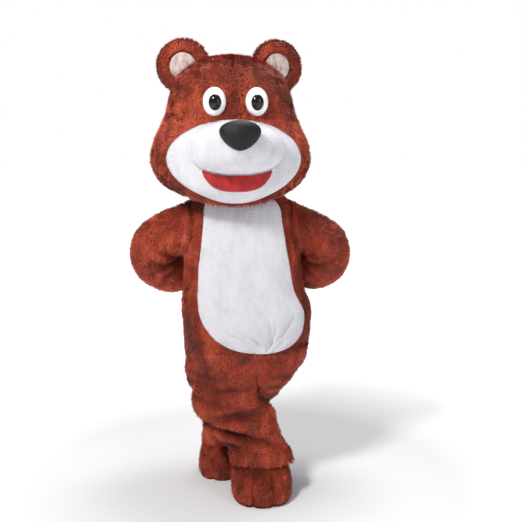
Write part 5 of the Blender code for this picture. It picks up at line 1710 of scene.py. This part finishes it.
def build_face():
    """The white lower face, the padded muzzle on it and the felt mouth under it."""
    columns = 2 * FACE_ROWS
    edge_share = 1 - 2 * SEAM_GAP / FACE_EDGE_REACH
    angles, places = face_grid(FACE_RINGS, columns, edge_share)
    face = cloth_mesh(
        "face_panel_plush", lambda inset: on_stand(face_point(angles, places, -inset)),
        FACE_RINGS, columns, WHITE_PILE, WHITE_BACK, wrap=True,
    )
    cloth = [finish("white plush"), finish("knitted backing")]
    panel_piece = add_piece(face.name, face, cloth, "head", "white_plush", "face_panel")
    dome = cloth_mesh(
        "muzzle_pad", lambda inset: on_stand(muzzle_points(inset)),
        MUZZLE_RINGS, MUZZLE_COLUMNS, WHITE_PILE, MUZZLE_WALL, wrap=True,
    )
    muzzle = add_piece(dome.name, dome, cloth, "head", "white_plush", "muzzle")
    smile = cloth_mesh(
        "mouth_felt", lambda inset: on_stand(mouth_points(inset)),
        MOUTH_ROWS, MOUTH_COLUMNS, 0.0, MOUTH_WALL,
    )
    mouth = add_piece(smile.name, smile, [finish("red felt")], "head", "red_felt", "mouth")


def dome_mesh(name, size, place, divisions, shape=None):
    """A smooth ellipsoid, its points shaped before it is put in place."""
    work = bmesh.new()
    segments, rings = divisions
    bmesh.ops.create_uvsphere(work, u_segments=segments, v_segments=rings, radius=1.0)
    bmesh.ops.scale(work, vec=size, verts=work.verts)
    for corner in work.verts:
        if shape:
            shape(corner.co)
    bmesh.ops.transform(work, matrix=place, verts=work.verts)
    mesh = bpy.data.meshes.new(name)
    work.to_mesh(mesh)
    work.free()
    mesh.shade_smooth()
    return mesh


def build_eyes():
    for name, side in (("left", 1), ("right", -1)):
        centre = head_point(np.array(side * EYE_ANGLE), np.array(EYE_PLACE), EYE_LIFT)
        place = head_frame(centre, yaw=side * EYE_ANGLE * EYE_TURN_SHARE)
        mesh = dome_mesh(f"eye_{name}_dome", EYE_SIZE, place, EYE_DIVISIONS)
        add_piece(mesh.name, mesh, [finish("eye white")], "head", "eye_white", f"eye_{name}")
        ahead = Matrix.Translation((-side * PUPIL_PLACE.x, PUPIL_PLACE.y - EYE_SIZE.y, PUPIL_PLACE.z))
        mesh = dome_mesh(f"pupil_{name}_dome", PUPIL_SIZE, place @ ahead, PUPIL_DIVISIONS)
        add_piece(mesh.name, mesh, [finish("pupil black")], "head", "black_pad", f"pupil_{name}")


def build_nose():
    tip = muzzle_points(0.0)[-1, 0]

    def rounded_triangle(point):
        point.x *= NOSE_WIDTH_SHARE + NOSE_TOP_SPREAD * point.z / NOSE_SIZE.z

    mesh = dome_mesh("nose_pad", NOSE_SIZE, head_frame(tip + NOSE_PLACE), NOSE_DIVISIONS, rounded_triangle)
    nose = add_piece(mesh.name, mesh, [finish("nose black")], "head", "black_pad", "nose")


def ear_place(side):
    centre = Vector((side * EAR_CENTRE.x, EAR_CENTRE.y, EAR_CENTRE.z))
    upright = Matrix.Rotation(math.radians(90), 4, "X")
    return head_frame(centre, roll=side * EAR_ROLL, yaw=side * EAR_YAW) @ upright


def ear_points(side, profile, rows, inset):
    """Rings of an ear, from the middle of its back over its rim to the middle of its front."""
    knots = np.linspace(0.0, 1.0, len(profile))
    places = np.linspace(0.0, 1.0, rows)
    radius = smooth(knots, [row.radius for row in profile], places)
    depth = smooth(knots, [row.depth for row in profile], places)
    outward_r = -np.gradient(depth)
    outward_d = np.gradient(radius)
    length = np.maximum(np.hypot(outward_r, outward_d), LEAST_LENGTH)
    radius = np.maximum(radius - outward_r / length * inset, 0.0)
    radius[0] = radius[-1] = 0.0
    depth = depth - outward_d / length * inset
    turns = np.linspace(0, 2 * math.pi, EAR_STEPS, endpoint=False)
    across = radius[:, None] * np.cos(turns)
    up = radius[:, None] * np.sin(turns)
    local = np.stack([across, up, -depth[:, None] + 0 * turns], axis=-1)
    matrix = np.array(ear_place(side))
    return local @ matrix[:3, :3].T + matrix[:3, 3] + np.array([0.0, 0.0, SHOULDER_HEIGHT])


def inside_head(points, depth):
    """Which points lie deeper in the head than the depth."""
    local = turned(points - np.array(HEAD_CENTRE), -HEAD_TURN)
    upper = [row for row in HEAD if row.height > SCALP_BOTTOM][::-1]
    heights = [row.height for row in upper]
    half_width = np.interp(local[..., 2], heights, [row.half_width for row in upper])
    front = np.interp(local[..., 2], heights, [row.front for row in upper])
    back = np.interp(local[..., 2], heights, [row.back for row in upper])
    reach_y = np.where(local[..., 1] < 0, front, back)
    x = np.abs(local[..., 0]) / np.maximum(half_width - depth, LEAST_REACH)
    y = np.abs(local[..., 1]) / np.maximum(reach_y - depth, LEAST_REACH)
    return x**HEAD_POWER + y**HEAD_POWER < 1.0


def ear_faces(points):
    """The faces of an ear's rings, apart from those that are sunk in the head."""
    sunk = inside_head(points, EAR_SUNK).reshape(-1)
    return wall_faces(len(points), EAR_STEPS, True, lambda face: bool(sunk[list(face)].all()))


def build_ears():
    """The two plush ears with their pile, and the pale patch in the hollow of each."""
    for name, side in (("left", 1), ("right", -1)):
        node = f"ear_{name}"
        points = ear_points(side, EAR_PROFILE, EAR_ROWS, PILE_ROOT)
        faces = ear_faces(points)
        mesh = tidy_mesh(plain_mesh(f"{node}_plush", points, faces))
        ear = add_piece(mesh.name, mesh, [finish("plush ground")], "head", "brown_fur", node)
        deeper = ear_points(side, EAR_PROFILE, EAR_ROWS, CLOTH_BACK)
        bed = plain_mesh(f"{node}_bed", points, facing_out(points, deeper, faces))
        put_values(bed, "nap", "FLOAT_VECTOR", "vector", along_rows(points))
        grow_pile(node, bed, "head", "brown_fur")
        hollow = ear_points(side, INNER_EAR_PROFILE[::-1], INNER_EAR_ROWS, 0.0)
        patch = tidy_mesh(plain_mesh(f"inner_{node}_plush", hollow, ear_faces(hollow)))
        piece = add_piece(patch.name, patch, [finish("pale plush")], "head", "pale_plush", f"inner_{node}")


# Studio


def floor_mesh(name):
    """A round flat floor in rings."""
    turns = np.linspace(0, 2 * math.pi, FLOOR_STEPS, endpoint=False)
    radii = np.array([*FLOOR_RINGS, FLOOR_RADIUS])[:, None]
    x = radii * np.cos(turns)
    y = radii * np.sin(turns)
    faces = [tuple(reversed(face)) for face in grid_faces(len(radii), len(turns), wrap=True)]
    mesh = plain_mesh(name, np.stack([x, y, np.full_like(x, -FLOOR_GAP)], axis=-1), faces)
    return tidy_mesh(mesh, turn_out=False)


def studio_world(colour, strength):
    """Even light all round, and plain white where the camera looks past the floor."""
    world = bpy.data.worlds.new("studio")
    world.use_nodes = True
    tree = world.node_tree
    around = tree.nodes["Background"]
    around.inputs["Color"].default_value = (*colour, 1.0)
    around.inputs["Strength"].default_value = strength
    white = new_node(tree, "ShaderNodeBackground", {"Color": (1.0, 1.0, 1.0, 1.0)})
    seen = tree.nodes.new("ShaderNodeLightPath").outputs["Is Camera Ray"]
    chosen = new_node(tree, "ShaderNodeMixShader", {0: seen, 1: around.outputs[0], 2: white.outputs[0]})
    join(tree, chosen.outputs[0], tree.nodes["World Output"].inputs["Surface"])
    return world


def into_scene(name, data):
    """An object of the studio, in the scene."""
    made = bpy.data.objects.new(name, data)
    bpy.context.scene.collection.objects.link(made)
    return made


def build_stage():
    """A pale floor, soft lights, and the camera where the photo was taken."""
    studio = bpy.context.scene.costume_studio
    floor = into_scene("studio_floor", floor_mesh("studio_floor"))
    floor.data.materials.append(finish("studio floor"))
    for lamp in LAMPS:
        light = bpy.data.lights.new(lamp.name, "AREA")
        light.shape = "DISK"
        light.size = lamp.size
        light.energy = lamp.power * studio.brightness
        light.color = lamp.colour
        holder = into_scene(lamp.name, light)
        holder.visible_camera = False
        holder.location = lamp.place
        towards = Vector(lamp.aim) - Vector(lamp.place)
        holder.rotation_euler = towards.to_track_quat("-Z", "Y").to_euler()
    bpy.context.scene.world = studio_world(studio.surround, studio.surround_strength)
    bpy.context.scene.view_settings.view_transform = "Standard"
    lens = bpy.data.cameras.new("camera")
    lens.lens = CAMERA_LENS
    lens.sensor_width = CAMERA_SENSOR
    camera = into_scene("camera", lens)
    camera.location = CAMERA_PLACE
    camera.rotation_euler = (CAMERA_TILT, 0.0, 0.0)
    bpy.context.scene.camera = camera


# Add-on


class PlushSettings(bpy.types.PropertyGroup):
    """The plush and its pile."""

    density: bpy.props.FloatProperty(
        name="Tufts", description="Tufts of pile on a square metre", default=100000.0, min=100.0
    )
    length: bpy.props.FloatProperty(
        name="Pile length",
        description="How long the pile is",
        default=0.015,
        subtype="DISTANCE",
        unit="LENGTH",
    )
    width: bpy.props.FloatProperty(
        name="Tuft width",
        description="How wide a tuft is",
        default=0.0026,
        subtype="DISTANCE",
        unit="LENGTH",
    )
    lean: bpy.props.FloatProperty(
        name="Lean",
        description="How far the pile lies over",
        default=math.radians(62),
        subtype="ANGLE",
        unit="ROTATION",
    )
    lock_size: bpy.props.FloatProperty(
        name="Lock size",
        description="How wide a lock of pile is",
        default=0.030,
        subtype="DISTANCE",
        unit="LENGTH",
    )
    lock_strength: bpy.props.FloatProperty(
        name="Lock strength", description="How far the locks part the pile", default=1.1, min=0.0, max=3.0
    )
    colour: bpy.props.FloatVectorProperty(
        name="Brown",
        description="Colour of most of the pile",
        size=3,
        default=(0.31, 0.031, 0.011),
        subtype="COLOR",
    )
    light: bpy.props.FloatVectorProperty(
        name="Light brown",
        description="Colour of its lit patches",
        size=3,
        default=(0.60, 0.098, 0.040),
        subtype="COLOR",
    )
    # Dark brown: the pile's painted shade at its roots, in folds, beside seams and in its shaded patches, and
    # the darkest colour of the ground cloth
    dark: bpy.props.FloatVectorProperty(
        name="Dark brown",
        description="Colour of the pile's roots",
        size=3,
        default=(0.032, 0.0022, 0.0016),
        subtype="COLOR",
    )
    white: bpy.props.FloatVectorProperty(
        name="White",
        description="Colour of the belly and the muzzle",
        size=3,
        default=(0.82, 0.815, 0.86),
        subtype="COLOR",
    )


class SewingSettings(bpy.types.PropertyGroup):
    """The back zip."""

    tooth_pitch: bpy.props.FloatProperty(
        name="Tooth pitch",
        description="From one zip tooth to the next",
        default=0.0030,
        subtype="DISTANCE",
        unit="LENGTH",
    )


class StudioSettings(bpy.types.PropertyGroup):
    """The studio's light."""

    brightness: bpy.props.FloatProperty(
        name="Lamps", description="Brightness of the lamps", default=1.0, min=0.0
    )
    surround: bpy.props.FloatVectorProperty(
        name="Surround",
        description="Colour of the light all round",
        size=3,
        default=(0.95, 0.96, 1.0),
        subtype="COLOR",
    )
    surround_strength: bpy.props.FloatProperty(
        name="Surround strength", description="Brightness of the light all round", default=0.33, min=0.0
    )


class COSTUME_OT_fronts_and_backs(bpy.types.Operator):
    """Make the brown fronts and backs of the suit"""

    bl_idname = "costume.fronts_and_backs"
    bl_label = "Fronts and backs"

    def execute(self, context):
        build_torso()
        return {"FINISHED"}


class COSTUME_OT_belly(bpy.types.Operator):
    """Make the white belly panel"""

    bl_idname = "costume.belly"
    bl_label = "Belly panel"

    def execute(self, context):
        build_belly()
        return {"FINISHED"}


class COSTUME_OT_sleeves_and_mitts(bpy.types.Operator):
    """Make the sleeves and the paw mitts"""

    bl_idname = "costume.sleeves_and_mitts"
    bl_label = "Sleeves and mitts"

    def execute(self, context):
        build_arms()
        return {"FINISHED"}


class COSTUME_OT_legs(bpy.types.Operator):
    """Make the two trouser legs"""

    bl_idname = "costume.legs"
    bl_label = "Legs"

    def execute(self, context):
        build_legs()
        return {"FINISHED"}


class COSTUME_OT_feet(bpy.types.Operator):
    """Make the foot covers and their soles"""

    bl_idname = "costume.feet"
    bl_label = "Feet"

    def execute(self, context):
        build_feet()
        return {"FINISHED"}


class COSTUME_OT_back_zip(bpy.types.Operator):
    """Make the zip's tape, teeth and stitches"""

    bl_idname = "costume.back_zip"
    bl_label = "Back zip"

    def execute(self, context):
        build_zip()
        return {"FINISHED"}


class COSTUME_OT_hood(bpy.types.Operator):
    """Make the plush and the foam of the hood"""

    bl_idname = "costume.hood"
    bl_label = "Hood"

    def execute(self, context):
        build_hood()
        return {"FINISHED"}


class COSTUME_OT_face(bpy.types.Operator):
    """Make the white lower face, the muzzle and the mouth"""

    bl_idname = "costume.face"
    bl_label = "Face"

    def execute(self, context):
        build_face()
        return {"FINISHED"}


class COSTUME_OT_eyes_and_nose(bpy.types.Operator):
    """Make the eyes, their pupils and the nose"""

    bl_idname = "costume.eyes_and_nose"
    bl_label = "Eyes and nose"

    def execute(self, context):
        build_eyes()
        build_nose()
        return {"FINISHED"}


class COSTUME_OT_ears(bpy.types.Operator):
    """Make the ears and the pale patches in them"""

    bl_idname = "costume.ears"
    bl_label = "Ears"

    def execute(self, context):
        build_ears()
        return {"FINISHED"}


class COSTUME_OT_stage(bpy.types.Operator):
    """Set up the floor, the lights and the camera"""

    bl_idname = "costume.stage"
    bl_label = "Studio"

    def execute(self, context):
        build_stage()
        return {"FINISHED"}


class COSTUME_PT_sidebar(bpy.types.Panel):
    """The costume's pieces and settings"""

    bl_idname = "COSTUME_PT_sidebar"
    bl_label = "Bear mascot costume"
    bl_space_type = "VIEW_3D"
    bl_region_type = "UI"
    bl_category = "Costume"

    def draw(self, context):
        scene = context.scene
        for settings in (scene.costume_plush, scene.costume_sewing, scene.costume_studio):
            box = self.layout.box()
            for name in settings.__annotations__:
                box.prop(settings, name)
        for operator in OPERATORS:
            self.layout.operator(operator.bl_idname)


SETTINGS = (PlushSettings, SewingSettings, StudioSettings)
OPERATORS = (
    COSTUME_OT_fronts_and_backs,
    COSTUME_OT_belly,
    COSTUME_OT_sleeves_and_mitts,
    COSTUME_OT_legs,
    COSTUME_OT_feet,
    COSTUME_OT_back_zip,
    COSTUME_OT_hood,
    COSTUME_OT_face,
    COSTUME_OT_eyes_and_nose,
    COSTUME_OT_ears,
    COSTUME_OT_stage,
)


def register():
    for made in (*SETTINGS, *OPERATORS, COSTUME_PT_sidebar):
        bpy.utils.register_class(made)
    bpy.types.Scene.costume_plush = bpy.props.PointerProperty(type=PlushSettings)
    bpy.types.Scene.costume_sewing = bpy.props.PointerProperty(type=SewingSettings)
    bpy.types.Scene.costume_studio = bpy.props.PointerProperty(type=StudioSettings)


def unregister():
    del bpy.types.Scene.costume_studio
    del bpy.types.Scene.costume_sewing
    del bpy.types.Scene.costume_plush
    for made in reversed((*SETTINGS, *OPERATORS, COSTUME_PT_sidebar)):
        bpy.utils.unregister_class(made)


def main():
    register()
    bpy.ops.costume.fronts_and_backs()
    bpy.ops.costume.belly()
    bpy.ops.costume.sleeves_and_mitts()
    bpy.ops.costume.legs()
    bpy.ops.costume.feet()
    bpy.ops.costume.back_zip()
    bpy.ops.costume.hood()
    bpy.ops.costume.face()
    bpy.ops.costume.eyes_and_nose()
    bpy.ops.costume.ears()
    bpy.ops.costume.stage()


if __name__ == "__main__":
    main()
